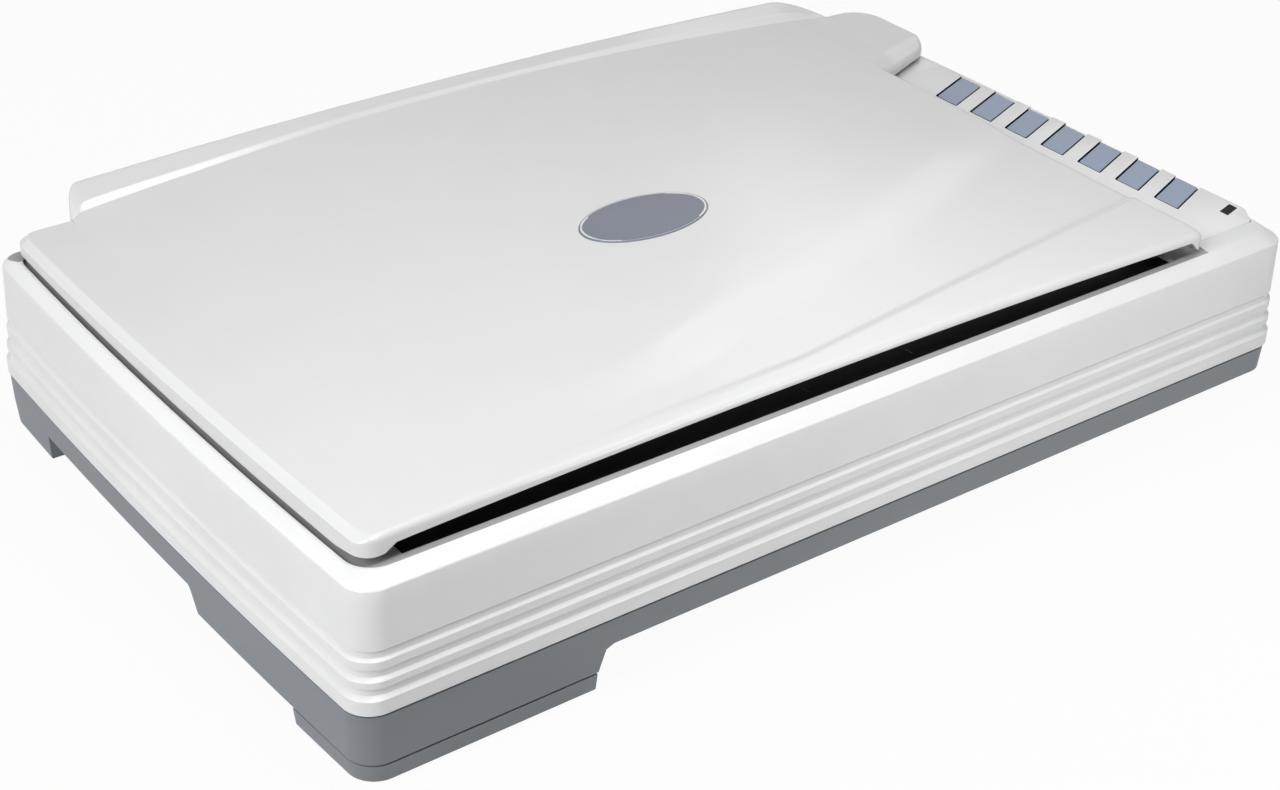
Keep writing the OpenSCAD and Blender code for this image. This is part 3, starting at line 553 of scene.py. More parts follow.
# Offsets from the outline: the rim's top edge, and the deck sunk inside it
RIM = dict(left=-6.7, right=-6.5, front=-8.9, back=-1.4)
POCKET = dict(left=-7.3, right=-10.6, front=-9.0, back=-10.6)
LEDGE_DROP = 0.6
OPEN_BACK_X = -HALF_W + 30
TAB_TOP = Z_PAN + 22.3
CORNER_SLOPE_Y, CORNER_SLOPE = 158.0, 0.24
PANEL_RIGHT = [(305.4, -161.0), (305.0, -130.0), (304.6, -70.0), (303.7, -10.0), (302.4, 20.0),
               (300.7, 45.0), (299.4, 64.0)]
PANEL_FRONT_X, PANEL_BACK_X = 296.5, 298.4


def groove_rows(ledge, low, scoop, mid, high, above):
    """A groove in the wall: a small step in, a shallow scoop and a thin slit under the wall above."""
    slit = scoop - SLIT_DEPTH
    return [(ledge, low - 0.25), (ledge - 0.1, low + 0.05), (scoop + 0.05, mid - 0.1),
            (scoop - 0.05, mid + 0.25), (scoop - 0.2, (mid + high) / 2), (scoop - 0.05, high - 0.95),
            (slit, high - 0.9), (slit, high - 0.1), (above - 0.05, high - 0.05), (above, high + 0.1)]


def wall_rows():
    """Outward offset and height of the wall's rows, from the seam up to the crease."""
    rows = [(2.45, Z_SEAM), (2.7, Z_SEAM + 0.4)]
    for groove in GROOVES:
        rows += groove_rows(*groove)
    return rows + [(0.25, 100), (0.05, 107.8), (-0.1, 108.5), (-0.45, Z_CREASE + 0.05),
                   (-1.1, Z_CREASE + 0.42)]


def panel_plan(gap):
    """Plan of the key panel; its right edge leans outward to the front."""
    front, back = PANEL_FRONT + gap, PANEL_BACK - gap
    return ([(PANEL_X0 + gap, front), (PANEL_FRONT_X - gap, front)]
            + [(x - gap, y) for x, y in PANEL_RIGHT]
            + [(PANEL_BACK_X - gap, back), (PANEL_X0 + gap, back)])


def deck_tools():
    """Cuts for the deck: a shallow ledge all round it and the deeper deck behind its front edge."""
    deck = ring(Z_DECK, **POCKET)
    deck[:, 0] = np.minimum(deck[:, 0], PANEL_X0)
    ledge = deck + (0, 0, Z_RIM - LEDGE_DROP - Z_DECK)
    deck[:, 1] = np.maximum(deck[:, 1], PLATEN[2])
    return [new_piece("tool", *loft([plan, plan + (0, 0, 20)])) for plan in (ledge, deck)]


def back_corner_slope():
    """The rim's gentle fall to the back at the left corner, beside the lid."""
    start, end, high = CORNER_SLOPE_Y, Y_BACK + 4, Z_RIM + 0.05
    profile = [(start, high), (end, high - CORNER_SLOPE * (end - start)), (end, OVER), (start, OVER)]
    return side_tool(profile, "x", -HALF_W - 10, OPEN_BACK_X)


def make_housing():
    """Cuts the deck, the recess for the keys and the other openings out of a ringed solid."""
    rings = outline_rings(wall_rows())
    for z, out in ((Z_RIM - 0.25, 0.7), (Z_RIM, -0.1)):
        rings.append(ring(z, **{side: offset + out for side, offset in RIM.items()}))
    body = new_piece("housing", *loft(rings))
    hollow = new_piece("tool", *loft(outline_rings([(-WALL, Z_SEAM - 5), (-WALL, Z_UNDER)])))
    cuts = [hollow] + deck_tools()
    cuts += [block(OPEN_BACK_X, PANEL_X0, 0, Y_BACK + 30, Z_DECK, OVER), block(*PLATEN, 90, OVER),
             back_corner_slope(), prism(panel_plan(0), Z_UNDER - 1, OVER),
             block(TAB_X[0] - FIT, TAB_X[1] + FIT, Y_BACK - 6, Y_BACK + 9, 0, TAB_TOP)]
    half = POST_W / 2 + FIT
    cuts += [block(x - half, x + half, POST_Y[0] - FIT, POST_Y[1] + FIT, 100, 120) for x in POST_X]
    combine(body, cuts, sharp=18)

    def on_deck(face):
        x, _, z = face.center / MM
        return Z_UNDER + 0.2 < z < Z_RIM - 0.5 and x < PANEL_X0 and face.normal.z > 0.95

    # The deck's top faces are painted mid grey as painted shade from the lid above them
    paint_some(body, white_housing, deck_painted_shade, on_deck)
    place(body, "base", "housing_plastic", "upper_housing")


make_housing()


# Lid: one skin with a crowned top, a fold across its front, an ear behind the keys and a hinge ridge

LID_X0, LID_X1 = -296.0, 243.8
LID_Y0, LID_Y1 = -183.6, 170.0
LID_Z0, LID_TOP = 116.0, 126.2
LID_WALL = 2.3
FRONT_BOW = 6.4
LID_CORNER, LID_CORNER_BACK, LID_CORNER_RIGHT = 9.0, 11.0, 6.5
CHAMFER_RUN, CHAMFER_DROP = 4.4, 3.6
FRONT_ROUND, SIDE_ROUND = 3.0, 2.2
CORNER_LIFT = 2.3
LIP_Z, LIP_X = 122.0, (-282.0, 237.0)

# How far the top rises at the left edge and in a crown at the back, half the crown's width, and how
# far the left end of the back dips
LEFT_RISE, CROWN, CROWN_HALF, BACK_DIP = 2.1, 8.5, 264.0, 1.5
# The crest behind the fold and its reach, the drop in front of the fold, the rise of the lip in
# front of the crease and the fall of the ear per millimetre
CREST, CREST_BAND, FOLD_DROP, LIP_RISE, EAR_FALL = 1.1, 60.0, 1.9, 1.5, 0.03

# The two lines across the lid's front, as plan points, and how wide each change of height is
FOLD = ((-300, -125), (-222, -123), (-102, -116), (20, -85), (120, -54), (218, -16), (310, 20))
CREASE = ((-300, -170), (-220, -168), (-131, -163), (-29, -160), (86, -145), (151, -137),
          (245, -126), (310, -120))
FOLD_BAND, CREASE_BAND = 33.0, 5.0

EAR_X, EAR_Y, EAR_SLANT = 305.5, 81.0, 0.39
EAR_CORNER, EAR_CORNER_BACK, EAR_LIFT = 13.0, 20.0, 0.6
FACET_Y, FACET_SLANT, FACET_DROP = 97.5, 0.3, 4.0

RIDGE_X, RIDGE_RAMP = (-263.0, 274.0), (15.0, 31.0)
RIDGE_FOOT, FOOT_BOW, FOOT_HALF = 170.5, 10.0, 266.0
RIDGE_TOP, RIDGE_BACK, RIDGE_LOW = 132.5, 196.6, 120.0
RIDGE_TOP_Y, RIDGE_ARCH, ARCH_HALF = 193.5, 5.0, 255.0
STEP_END, STEP_ARCH, STEP_RUN = 3.2, 1.6, 1.75

# Places of the grid's lines: along the ridge's section, in from an edge and in from the left chamfer
RIDGE_STEPS = np.concatenate([np.linspace(0, 0.3, 14), np.linspace(0.3, 1, 20)[1:]])
EDGE_STEPS = np.array([0, 0.2, 0.6, 1.2, 2.0, 3.0, 4.2, 5.6, 7.4, 10])
CHAMFER_STEPS = np.array([0, 0.25, 0.6, 1.2, 2.2, 3.2, 4.1, 4.4, 4.7, 5.5, 7, 9, 12, 15, 18])


def lid_height(x, y):
    """Height of the lid's top, edges left aside: a low crown, a soft fold and a raised front lip."""
    back = ease(y, -130, 180)
    crown = np.maximum(0, 1 - (x / CROWN_HALF) ** 2)
    z = LID_TOP + LEFT_RISE * ease(x, -150, -280) * (1 - 0.8 * back)
    z = z + back * (CROWN * crown - BACK_DIP * ease(x, -80, -200))
    fold, crease = (np.interp(x, *np.array(line, float).T) for line in (FOLD, CREASE))
    share = ease(x, -240, -40)
    crest = CREST * ease(x, -200, -40) * ease(x, 250, 180)
    z = z + crest * np.exp(-(np.maximum(0, y - fold) / CREST_BAND) ** 2)
    z = z - (FOLD_DROP * share + crest) * ease(y, fold, fold - FOLD_BAND)
    z = z + LIP_RISE * share * ease(y, crease, crease - CREASE_BAND)
    return z - EAR_FALL * np.maximum(0, x - LID_X1)


def corner_rise(x, edge, radius):
    """How far a rounded corner that ends at x = edge has left its straight side."""
    reach = np.clip(radius - np.abs(edge - x), 0, radius)
    return radius - np.sqrt(radius ** 2 - reach ** 2)


def lid_front(x):
    """y of the lid's front edge."""
    t = np.clip((x - LID_X0) / (LID_X1 - LID_X0), 0, 1)
    y = LID_Y0 + FRONT_BOW * (1 - (2 * t - 1) ** 2)
    left, right = corner_rise(x, LID_X0, LID_CORNER), corner_rise(x, LID_X1, LID_CORNER_RIGHT)
    return y + np.where(x < 0, left, right)


def ear_front(x):
    """y of the ear's front edge, which slants back to the right."""
    return EAR_Y + EAR_SLANT * (x - LID_X1) + corner_rise(x, EAR_X, EAR_CORNER)


def lid_back(x):
    """y of the lid's back edge beside the ridge."""
    left, right = corner_rise(x, LID_X0, LID_CORNER_BACK), corner_rise(x, EAR_X, EAR_CORNER_BACK)
    return LID_Y1 - np.where(x < 0, left, right)


def ridge_share(x):
    """1 along the ridge, falling to 0 at its two ends."""
    left, right = (x - RIDGE_X[0]) / RIDGE_RAMP[0], (RIDGE_X[1] - x) / RIDGE_RAMP[1]
    return np.sin(np.pi / 2 * np.clip(np.minimum(left, right), 0, 1))


def ridge_foot(x):
    """y where the ridge rises from the lid, or near the back edge beside the ridge."""
    curve = RIDGE_FOOT + FOOT_BOW * np.maximum(0, 1 - (x / FOOT_HALF) ** 2)
    return np.minimum(curve, np.where(ridge_share(x) > 0, curve, lid_back(x) - 7))


def ridge_section(x):
    """The ridge's line from its foot over the top and down the back, as (y, z) at RIDGE_STEPS."""
    foot = float(ridge_foot(x))
    z0 = float(lid_height(x, foot))
    arch = max(0.0, 1 - (x / ARCH_HALF) ** 2)
    top, high = RIDGE_TOP_Y + 1.5 * arch, RIDGE_TOP + RIDGE_ARCH * arch
    step = STEP_END - STEP_ARCH * arch
    run = STEP_RUN * step
    points = np.array([(foot, z0), (foot + 0.2, z0 + 0.05), (foot + run, z0 + step),
                       (foot + run + 0.6, z0 + step + 0.1), (top - 2.5, high - 0.25),
                       (top - 0.6, high), (top + 0.7, high - 0.5), (RIDGE_BACK - 0.5, high - 4),
                       (RIDGE_BACK - 0.1, high - 9), (RIDGE_BACK, RIDGE_LOW)])
    for _ in range(2):
        near, next_one = points[:-1], points[1:]
        cut = np.stack([0.75 * near + 0.25 * next_one, 0.25 * near + 0.75 * next_one], 1)
        points = np.concatenate([points[:1], cut.reshape(-1, 2), points[-1:]])
    return along(points, RIDGE_STEPS)


def lid_columns():
    """x of the lid's columns, closer where the outline turns or the ridge ends."""
    left = np.concatenate([LID_X0 + CHAMFER_STEPS, np.linspace(-274, -246, 15)])
    middle = np.linspace(-240, LID_X1 - 12, 66)
    right = LID_X1 - np.array([10, 8, 6.5, 4.8, 3.2, 2.0, 1.0, 0.3, 0])
    ear = np.concatenate([LID_X1 + np.array([0.8, 2, 4]), np.linspace(LID_X1 + 7, 276, 12),
                          np.linspace(279, EAR_X - EAR_CORNER, 5)[:-1], EAR_X - EDGE_STEPS[::-1] * 1.3])
    return np.concatenate([left, middle, right, ear]), len(left) + len(middle) + len(right)


def lid_rows():
    """y of the lid's rows at its right edge, closer along the front and where the ear starts."""
    front, foot = float(lid_front(LID_X1)), float(ridge_foot(LID_X1))
    fold = np.linspace(front + 12, front + 76, 46)
    middle = np.linspace(front + 80, EAR_Y - 3, 40)
    ear = EAR_Y + np.linspace(0, 24, 25)
    rows = np.concatenate([front + EDGE_STEPS, fold, middle, ear, np.linspace(EAR_Y + 28, foot - 8, 12),
                           foot - np.array([5, 2.5, 1, 0])])
    return rows, len(EDGE_STEPS) + len(fold) + len(middle)


def lid_edge(n_rows, n_cols, first_ear, ear_row):
    """The lid's closed outline as grid places (row, column), anticlockwise from the front left."""
    last_row, last = n_rows - 1, n_cols - 1
    return ([(0, i) for i in range(first_ear)]
            + [(j, first_ear - 1) for j in range(1, ear_row + 1)]
            + [(ear_row, i) for i in range(first_ear, last + 1)]
            + [(j, last) for j in range(ear_row + 1, last_row + 1)]
            + [(last_row, i) for i in range(last - 1, -1, -1)]
            + [(j, 0) for j in range(last_row - 1, 0, -1)])


def lid_grid():
    """Points of the lid's top: rows from the front to the ridge's foot, then on over the ridge."""
    xs, first_ear = lid_columns()
    rows, ear_row = lid_rows()
    n = len(rows)
    share = (rows - rows[0]) / (rows[-1] - rows[0])
    ear_share = (rows - rows[ear_row]) / (rows[-1] - rows[ear_row])
    flat = np.linspace(0, 1, len(RIDGE_STEPS)) ** 0.6
    grid = np.zeros((n + len(RIDGE_STEPS) - 1, len(xs), 3))
    grid[:, :, 0] = xs
    for i, x in enumerate(xs):
        front, part = (lid_front(x), share) if i < first_ear else (ear_front(x), ear_share)
        foot = float(ridge_foot(x))
        grid[:n, i, 1] = front + part * (foot - front)
        flat_y = foot + flat * (lid_back(x) - foot)
        flat_z = lid_height(x, flat_y)
        lift = float(ridge_share(x))
        section = ridge_section(x)
        grid[n - 1:, i, 1] = flat_y + lift * (section[:, 0] - flat_y)
        grid[n - 1:, i, 2] = flat_z + lift * (section[:, 1] - flat_z)
    grid[:n, :, 2] = lid_height(grid[:n, :, 0], grid[:n, :, 1])
    return grid, xs, first_ear, ear_row


def edge_drop(x, y, gap):
    """How far the lid's edge falls: chamfered on the left, rounded elsewhere."""
    to_front, to_left = y - lid_front(x), x - LID_X0
    left = ease(to_front - to_left, -5, 3) * (x < 0)
    chamfer = CHAMFER_DROP * np.clip(1 - gap / CHAMFER_RUN, 0, 1)
    radius = np.where((y < LID_Y0 + 12) & (x < LID_X1 + 0.1), FRONT_ROUND, SIDE_ROUND)
    reach = np.clip(radius - gap, 0, radius)
    return left * chamfer + (1 - left) * (radius - np.sqrt(radius ** 2 - reach ** 2))


def round_lid_edges(points, outline, lift):
    """Lowers points near the outline, and slopes the front of the ear."""
    x, y = points[:, 0], points[:, 1]
    points[:, 2] -= edge_drop(x, y, gap_to_line(x, y, outline[:, :2])) * (1 - lift)
    top = FACET_Y + FACET_SLANT * (x - LID_X1)
    foot = EAR_Y + EAR_SLANT * (x - LID_X1)
    points[:, 2] -= np.where(x > LID_X1 + 0.1, FACET_DROP * np.clip((top - y) / (top - foot), 0, 1), 0)


def lid_low(x, y, lift):
    """Lower edge of the lid's side: cut away along the front for the fingers."""
    lip = ease(np.minimum(x - LIP_X[0], LIP_X[1] - x), -3, 4) * (y < LID_Y0 + 9)
    low = LID_Z0 + (LIP_Z - LID_Z0) * lip + EAR_LIFT * (x > LID_X1 + 0.1)
    low = low + CORNER_LIFT * (1 - lip) * ease(y, -160, -180) * (x < 0)
    return low + lift * (RIDGE_LOW - low)


def make_lid():
    """Joins the top and the sides hung from its outline, and gives them a wall."""
    grid, xs, first_ear, ear_row = lid_grid()
    n_rows, n_cols = grid.shape[:2]
    points = grid.reshape(-1, 3)
    at = np.arange(n_rows * n_cols).reshape(n_rows, n_cols)
    rim = np.array([at[spot] for spot in lid_edge(n_rows, n_cols, first_ear, ear_row)])
    foot_row = n_rows - len(RIDGE_STEPS)
    lift = np.where(np.arange(n_rows)[:, None] > foot_row, ridge_share(xs)[None, :], 0).ravel()
    outline = points[rim]
    round_lid_edges(points, np.concatenate([outline, outline[:1]]), lift)
    swell = BOW * (1 - ((points[:, 1] + Y_MID) / HALF_D) ** 2)
    points[:, 0] -= np.maximum(swell, 0) * ease(points[:, 0], -200, LID_X0)

    faces = [(at[j, i], at[j, i + 1], at[j + 1, i + 1], at[j + 1, i])
             for j in range(n_rows - 1) for i in range(n_cols - 1) if i + 1 < first_ear or j >= ear_row]
    low = points[rim]
    low[:, 2] = np.minimum(lid_low(low[:, 0], low[:, 1], lift[rim]), low[:, 2] - 0.02)
    start, count = len(points), len(rim)
    for k in range(count):
        m = (k + 1) % count
        faces.append((start + k, start + m, rim[m], rim[k]))
    used = sorted({v for f in faces for v in f})
    new = {v: k for k, v in enumerate(used)}
    verts = np.concatenate([points, low])[used]

    lid = new_piece("lid", verts, [[new[v] for v in f] for f in faces], white_lid)
    shell = lid.modifiers.new("wall", "SOLIDIFY")
    shell.thickness, shell.offset, shell.use_even_offset = LID_WALL * MM, -1, True
    baked(lid, 30)
    place(lid, "lid", "lid_plastic", "lid_shell")


make_lid()


# Bare oval badge on the lid, with a thin white line set in a groove near its edge

BADGE_AT, BADGE_HALF = (-9.7, -4.9), (41.0, 22.0)
BADGE_ROWS = ((0.0, -0.6), (0.0, 0.35), (-0.25, 0.62), (-0.7, 0.7), (-1.0, 0.68), (-1.05, 0.55),
              (-2.0, 0.55), (-2.05, 0.68), (-2.3, 0.7), (-8, 0.78), (-16, 0.85))
BADGE_LINE = (0.945, 0.975)


def make_badge():
    turn = np.radians(np.arange(0, 360, 3))
    rings = []
    for offset, rise in BADGE_ROWS:
        x = BADGE_AT[0] + (BADGE_HALF[0] + offset) * np.cos(turn)
        y = BADGE_AT[1] + (BADGE_HALF[1] + offset) * np.sin(turn)
        rings.append(np.stack([x, y, lid_height(x, y) + rise], 1))
    badge = new_piece("badge", *loft(rings), sharp=40)

    def on_line(face):
        x, y, _ = face.center / MM
        reach = math.hypot((x - BADGE_AT[0]) / BADGE_HALF[0], (y - BADGE_AT[1]) / BADGE_HALF[1])
        return BADGE_LINE[0] < reach < BADGE_LINE[1] and len(face.vertices) == 4

    paint_some(badge, badge_slate, white_lid, on_line)
    place(badge, "lid", "badge_grey", "lid_badge")


make_badge()


# Plinth with its cut-outs, and the riser under its front left block

PLINTH_ROWS = ((-0.25, Z_FOOT), (0.1, Z_FOOT + 0.35), (1.35, Z_CUT), (1.95, Z_SEAM - 1.5),
               (0.6, Z_SEAM - 1.4), (0.6, Z_SEAM - 0.05))
FRONT_CUT = ((-175.6, 0), (-175, Z_FOOT), (-171.5, Z_CUT - 2), (-167, Z_CUT), (FAR, Z_CUT), (FAR, 0))
BACK_CUT = ((-185, 0), (-185, Z_CUT), (FAR, Z_CUT), (FAR, 0))
LEFT_CUT = ((-47, 0), (-46.15, Z_FOOT), (-42.15, Z_CUT - 3), (-40.15, Z_CUT), (121.0, Z_CUT),
            (121.85, 20), (121.85, 0))
BOSSES = ((-291, Y_FRONT + 14), (291, Y_FRONT + 14), (-291, Y_BACK - 14), (291, Y_BACK - 14),
          (0, Y_FRONT + 8), (-20, Y_BACK - 8))
BOARD_POSTS = [(x, y) for x in (111, 194) for y in (Y_BACK - 52, Y_BACK - 12)]
SCREW_WELL_D, BOSS_D, BOARD_POST_D = 8, 12, 7
RISER_SEAM = Z_FOOT - 1.1
RISER_ROWS = ((-2.4, 1.0), (-1.6, 1.5), (-0.25, RISER_SEAM - 0.1), (-0.4, RISER_SEAM),
              (-4.0, RISER_SEAM + 0.05), (-4.0, Z_FOOT))
RISER_X1, RISER_DEPTH = -175, 60
RISER_PADS, PAD_D, PAD_SINK = [(x, Y_FRONT + 28) for x in (-281, -199)], 22.2, 2.4


def make_plinth():
    body = new_piece("plinth", *loft(outline_rings(PLINTH_ROWS)))
    hollow = new_piece("tool", *loft(outline_rings([(-0.5, Z_PAN), (-0.5, Z_SEAM + 5)])))
    cuts = [hollow, side_tool(FRONT_CUT, "y", -FAR, 119), side_tool(LEFT_CUT, "x", -FAR, -160),
            side_tool(BACK_CUT, "y", 118, FAR),
            block(TAB_X[0], TAB_X[1], Y_BACK - 1, Y_BACK + 9, Z_CUT - 2, Z_SEAM + 2)]
    cuts += [disc(x, y, SCREW_WELL_D, 0, Z_CUT + 1.5) for x, y in BOSSES]
    combine(body, cuts)
    posts = [disc(x, y, BOSS_D, Z_PAN - 1, Z_PAN + 2.8) for x, y in BOSSES]
    posts += [disc(x, y, BOARD_POST_D, Z_PAN - 1, Z_PAN + 3) for x, y in BOARD_POSTS]
    combine(body, posts, "UNION")
    paint(body, slate_base)
    place(body, "base", "plinth_plastic", "base_pan", "plinth_blocks")


def make_riser():
    body = new_piece("riser", *loft(outline_rings(RISER_ROWS)))
    combine(body, [block(-FAR, RISER_X1, -FAR, Y_FRONT + RISER_DEPTH, -5, 40)], "INTERSECT")
    combine(body, [disc(x, y, PAD_D, -5, PAD_SINK) for x, y in RISER_PADS])
    rounded(body, 0.5, 2, 50)
    paint(body, slate_base)
    place(body, "base", "riser_plastic", "riser_foot")


make_plinth()
make_riser()


# Keys, window and key panel

KEY_COUNT, KEY_PITCH, KEY_SKEW = 7, 29.143, 0.36
KEY_LEN = KEY_PITCH * 0.577
KEY_Y0 = 44.85
KEY_INNER, KEY_OUTER = (265.5, 1.27), (298.1, 0.87)     # x of the first key's end, and its step per key
KEY_ROWS = ((-0.25, -3.5), (-0.25, -0.42), (-0.37, -0.25), (-0.6, -0.18), (-1.2, -0.14), (-2.4, -0.12))
KEY_HOLE_GAP, KEY_HOLE_REACH, HOLE_TOP = 1.0, 9, 130
PANEL_RISE, PANEL_GAP, PANEL_REACH = 1.2, 0.15, 300
WINDOW = ((290.2, -161.0), (301.6, -158.1), (301.6, -152.3), (290.2, -155.2))
WINDOW_ROWS = ((0, -2.4), (0, -0.05), (-0.2, 0.1))


def panel_top(x):
    """The panel's top rises a little towards its outer edge."""
    return Z_RIM + PANEL_RISE * (x - PANEL_X0) / (HALF_W - PANEL_X0)


def on_panel(plan, above):
    """A plan outline put at a height above the panel's top."""
    plan = np.array(plan)
    return np.column_stack([plan, panel_top(plan[:, 0]) + above])


def key_outline(i, gap, radius=1.0, reach=0.0):
    """Plan of a key grown by gap, its outer end moved out by reach."""
    inner, outer = (first + step * i for first, step in (KEY_INNER, KEY_OUTER))
    x0, x1, half = inner - gap, outer + gap + reach, KEY_LEN / 2 + gap
    middle = KEY_Y0 - KEY_PITCH * i
    corners = [(x0, -half), (x1, -half), (x1, half), (x0, half)]
    return round_corners([(x, middle + KEY_SKEW * (x - inner) + y) for x, y in corners], radius)


def make_keys():
    """Caps with a soft top edge; their sides are painted near black as painted shade, so the gaps round
    them read as dark lines.
    """
    for i in range(KEY_COUNT):
        rings = [on_panel(key_outline(i, gap, 1.0 + gap * 0.3), above) for gap, above in KEY_ROWS]
        name = "key_%d" % (i + 1)
        key = new_piece(name + "_cap", *loft(rings))
        paint_some(key, key_blue, gap_painted_shade, lambda face: abs(face.normal.z) < 0.2)
        place(key, name + "_cap", "key_blue", name)


def window_plan(gap):
    """Plan of the status window grown by gap."""
    centre = np.mean(WINDOW, axis=0)
    return [np.array(p) + gap * np.sign(np.array(p) - centre) for p in WINDOW]


def make_window():
    rings = [on_panel(window_plan(gap), above) for gap, above in WINDOW_ROWS]
    window = new_piece("status_window", *loft(rings), black_gloss)
    place(window, "base", "window_black", "indicator_window")


def above_panel():
    """Everything above the panel's sloping top."""
    x0, x1 = PANEL_X0 - 10, HALF_W + 20
    profile = [(x0, panel_top(x0)), (x1, panel_top(x1)), (x1, OVER), (x0, OVER)]
    return side_tool(profile, "y", PANEL_REACH, -PANEL_REACH)


def make_panel():
    """The panel is cut open at the outer ends of the keys; what stands between them reads as bars."""
    plan = panel_plan(PANEL_GAP)
    panel = prism(round_corners(plan, 2.0), Z_UNDER, 120)
    panel.name = "key_panel"
    combine(panel, [above_panel()])
    rounded(panel, 1.0, 3, 50)
    holes = []
    for i in range(KEY_COUNT):
        holes.append(prism(key_outline(i, KEY_HOLE_GAP), 100, HOLE_TOP))
        holes.append(prism(key_outline(i, KEY_HOLE_GAP, reach=KEY_HOLE_REACH), Z_RIM - 0.6, HOLE_TOP))
    holes.append(prism(window_plan(PANEL_GAP), Z_DECK, HOLE_TOP))
    combine(panel, holes)
    outline = np.array(plan + plan[:1])

    def in_hole(face):
        x, y, _ = face.center / MM
        return gap_to_line(np.array(x), np.array(y), outline) > 1.2 and abs(face.normal.z) < 0.5

    # Painted shade: the walls of the key holes are painted near black for the shadow in the gaps
    paint_some(panel, white_housing, gap_painted_shade, in_hole)
    place(panel, "base", "housing_plastic", "button_panel")


make_keys()
make_window()
make_panel()


# Under the lid: knuckles, liner, screws and document pad

AXIS_Y, AXIS_Z = 184.85, 125.0
KNUCKLE_X, KNUCKLE_R = ((-18.3, -12.3), (12.3, 18.3)), 5.2
WEB_Y, WEB_TOP = (-1.5, 3.5), 130.8
LID_SCREWS = [(x, y) for x in (-233, 182) for y in (-122.65, 117.85)]
SCREW_HEAD_D, SCREW_D, SCREW_HOLE_D = 6, 3, 3.4
SCREW_Z = (116.4, 118, 121.5)           # underside of the head, its top and the end of the shank
SLOT_HALF, SLOT_W, SLOT_TOP = 2, 0.8, 117.1
PAD_CORNER = 8


def make_knuckles():
    """Rods beside the hinge posts, each with a web up into the ridge."""
    turn = np.radians(np.arange(0, 360, 10))
    round_end = [(AXIS_Y + KNUCKLE_R * math.cos(a), AXIS_Z + KNUCKLE_R * math.sin(a)) for a in turn]
    ends = [(x + a, x + b) for x in POST_X for a, b in KNUCKLE_X]
    for k, (a, b) in enumerate(ends):
        part = side_tool(round_end, "x", a, b)
        combine(part, [block(a, b, AXIS_Y + WEB_Y[0], AXIS_Y + WEB_Y[1], AXIS_Z, WEB_TOP)], "UNION")
        part.name = "knuckle_%d" % (k + 1)
        paint(part, white_lid)
        place(part, "lid", "hinge_plastic", *(["lid_knuckles"] if k == 0 else []))


def make_liner():
    """The flat plate inside the lid, clear of the lid's right wall."""
    lo, hi = (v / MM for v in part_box("lid_liner"))
    liner = block(lo.x, LID_X1 - LID_WALL - FIT, lo.y, hi.y, lo.z, hi.z)
    liner.name = "liner"
    combine(liner, [disc(x, y, SCREW_HOLE_D, 110, 130, 24) for x, y in LID_SCREWS])
    rounded(liner, 0.4, 2, 50)
    paint(liner, liner_white)
    place(liner, "lid", "liner_plastic", "lid_liner")


def make_lid_screws():
    """Cross-slotted screws seen from below."""
    head, top, end = SCREW_Z
    for k, (x, y) in enumerate(LID_SCREWS):
        screw = disc(x, y, SCREW_HEAD_D, head, top)
        combine(screw, [disc(x, y, SCREW_D, top - 0.5, end, 24)], "UNION")
        slots = [(SLOT_W / 2, SLOT_HALF), (SLOT_HALF, SLOT_W / 2)]
        combine(screw, [block(x - a, x + a, y - b, y + b, LID_Z0, SLOT_TOP) for a, b in slots])
        screw.name = "lid_screw_%d" % (k + 1)
        paint(screw, steel_dark)
        place(screw, "lid", "screw_steel", *(["lid_screws"] if k == 0 else []))


def make_pad():
    """A firm foam slab with soft edges."""
    lo, hi = (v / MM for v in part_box("document_pad"))
    rows = [(1.6, lo.z), (0.5, lo.z + 0.35), (0.05, lo.z + 1.2), (0.3, (lo.z + hi.z) / 2),
            (0.0, hi.z - 1.0), (0.3, hi.z - 0.3), (1.0, hi.z)]
    rings = []
    for inset, z in rows:
        x0, x1, y0, y1 = lo.x + inset, hi.x - inset, lo.y + inset, hi.y - inset
        plan = round_corners([(x0, y0), (x1, y0), (x1, y1), (x0, y1)], PAD_CORNER, 6)
        rings.append(np.column_stack([plan, np.full(len(plan), z)]))
    pad = new_piece("document_pad_foam", *loft(rings), pad_white)
    place(pad, "lid", "pad_foam", "document_pad")


make_knuckles()
make_liner()
make_lid_screws()
make_pad()


# Ribbon cable to the carriage and the ticks on the platen's surround

CABLE_T = 0.5
CABLE_Y = (133.85, 147.85)
CABLE_X = (105.5, 13.0, 183.0)          # its start at the board, its loop and its end at the carriage
CABLE_Z = (30.3, 53.3)
TICK_X, TICK_Y, TICK_W, TICK_T = (-31.0, 38.5), (-170, -165), 0.8, 0.05


def make_cable():
    """The ribbon: along the pan, up through one loop and along to the carriage."""
    low, high = (z + CABLE_T / 2 for z in CABLE_Z)
    radius = (high - low) / 2
    bend = np.radians(np.linspace(-90, -270, 25))
    route = [(x, low) for x in np.linspace(CABLE_X[0], CABLE_X[1], 16)[:-1]]
    route += [(CABLE_X[1] + radius * math.cos(a), low + radius + radius * math.sin(a)) for a in bend]
    route += [(x, high) for x in np.linspace(CABLE_X[1], CABLE_X[2], 40)[1:]]
    route = np.array(route)
    ahead = np.gradient(route, axis=0)
    ahead /= np.linalg.norm(ahead, axis=1)[:, None]
    side = np.stack([-ahead[:, 1], ahead[:, 0]], 1) * CABLE_T / 2
    y0, y1 = CABLE_Y
    rings = [np.array([(x - dx, y0, z - dz), (x - dx, y1, z - dz), (x + dx, y1, z + dz),
                       (x + dx, y0, z + dz)]) for (x, z), (dx, dz) in zip(route, side)]
    cable = outward(new_piece("ribbon_cable", *loft(rings), ribbon_white))
    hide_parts("flat_cable")
    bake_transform(cable)


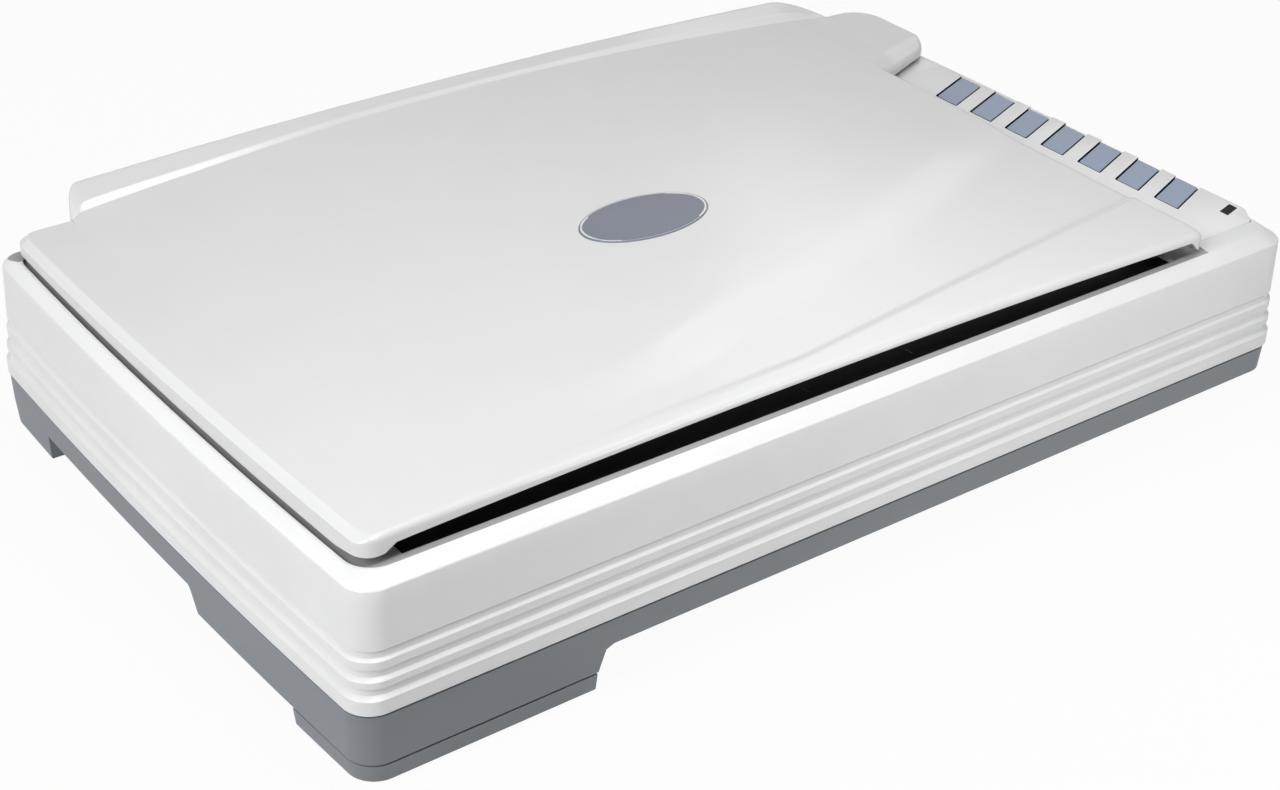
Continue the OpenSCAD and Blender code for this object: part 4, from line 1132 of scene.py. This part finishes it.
def make_size_marks():
    """Two bare ticks printed on the front margin of the platen's surround."""
    verts, faces = [], []
    y0, y1 = TICK_Y
    for x in TICK_X:
        x0, x1 = x - TICK_W / 2, x + TICK_W / 2
        points, sides = loft([np.array([(x0, y0, z), (x1, y0, z), (x1, y1, z), (x0, y1, z)])
                              for z in (Z_UNDER, Z_UNDER + TICK_T)])
        faces += [[v + len(verts) for v in f] for f in sides]
        verts += list(points)
    place(new_piece("size_marks", verts, faces, mark_grey), "base", "strip_white")


make_cable()
make_size_marks()


# CAD nodes that still show

NODE_LOOKS = {
    slate_base: ["socket_plate", "inset_feet"],
    rubber: ["rubber_pads", "lid_bumpers"],
    glass: ["platen_glass"],
    print_black: ["platen_mask"],
    strip_grey: ["calibration_strip"],
    steel: ["guide_rod", "belt_shafts", "hinge_pins"],
    steel_plate: ["support_rail", "drive_motor", "motor_bracket", "idler_bracket", "usb_socket",
                  "lamp_reflector"],
    steel_dark: ["housing_screws", "board_screws"],
    spring_steel: ["tension_spring"],
    brass: ["motor_pinion", "rod_bushes"],
    black_plastic: ["power_socket", "key_switches", "carriage_frame", "carriage_cover",
                    "lens_barrel", "belt_clamp"],
    grey_plastic: ["rod_holders", "hinge_sleeves"],
    natural_plastic: ["drive_gear", "drive_pulley", "idler_pulley", "slide_pad"],
    belt_black: ["drive_belt"],
    board_green: ["main_board", "key_board", "sensor_board"],
    mirror_glass: ["mirrors"],
    lamp_glass: ["lamp_bar"],
    white_lid: ["hinge_posts"],
}
WELD_MM, SOFT_EDGE_MM = 0.001, 0.2


def finish_nodes():
    """Gives each CAD node that still shows its material, and softens its edges."""
    for material, names in NODE_LOOKS.items():
        for name in names:
            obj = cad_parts[name]
            paint(obj, material)
            weld = obj.modifiers.new("weld", "WELD")
            weld.merge_threshold = WELD_MM * MM
            soft = obj.modifiers.new("edges", "BEVEL")
            soft.width, soft.segments, soft.limit_method = SOFT_EDGE_MM * MM, 2, "ANGLE"
            soft.angle_limit = math.radians(45)


finish_nodes()
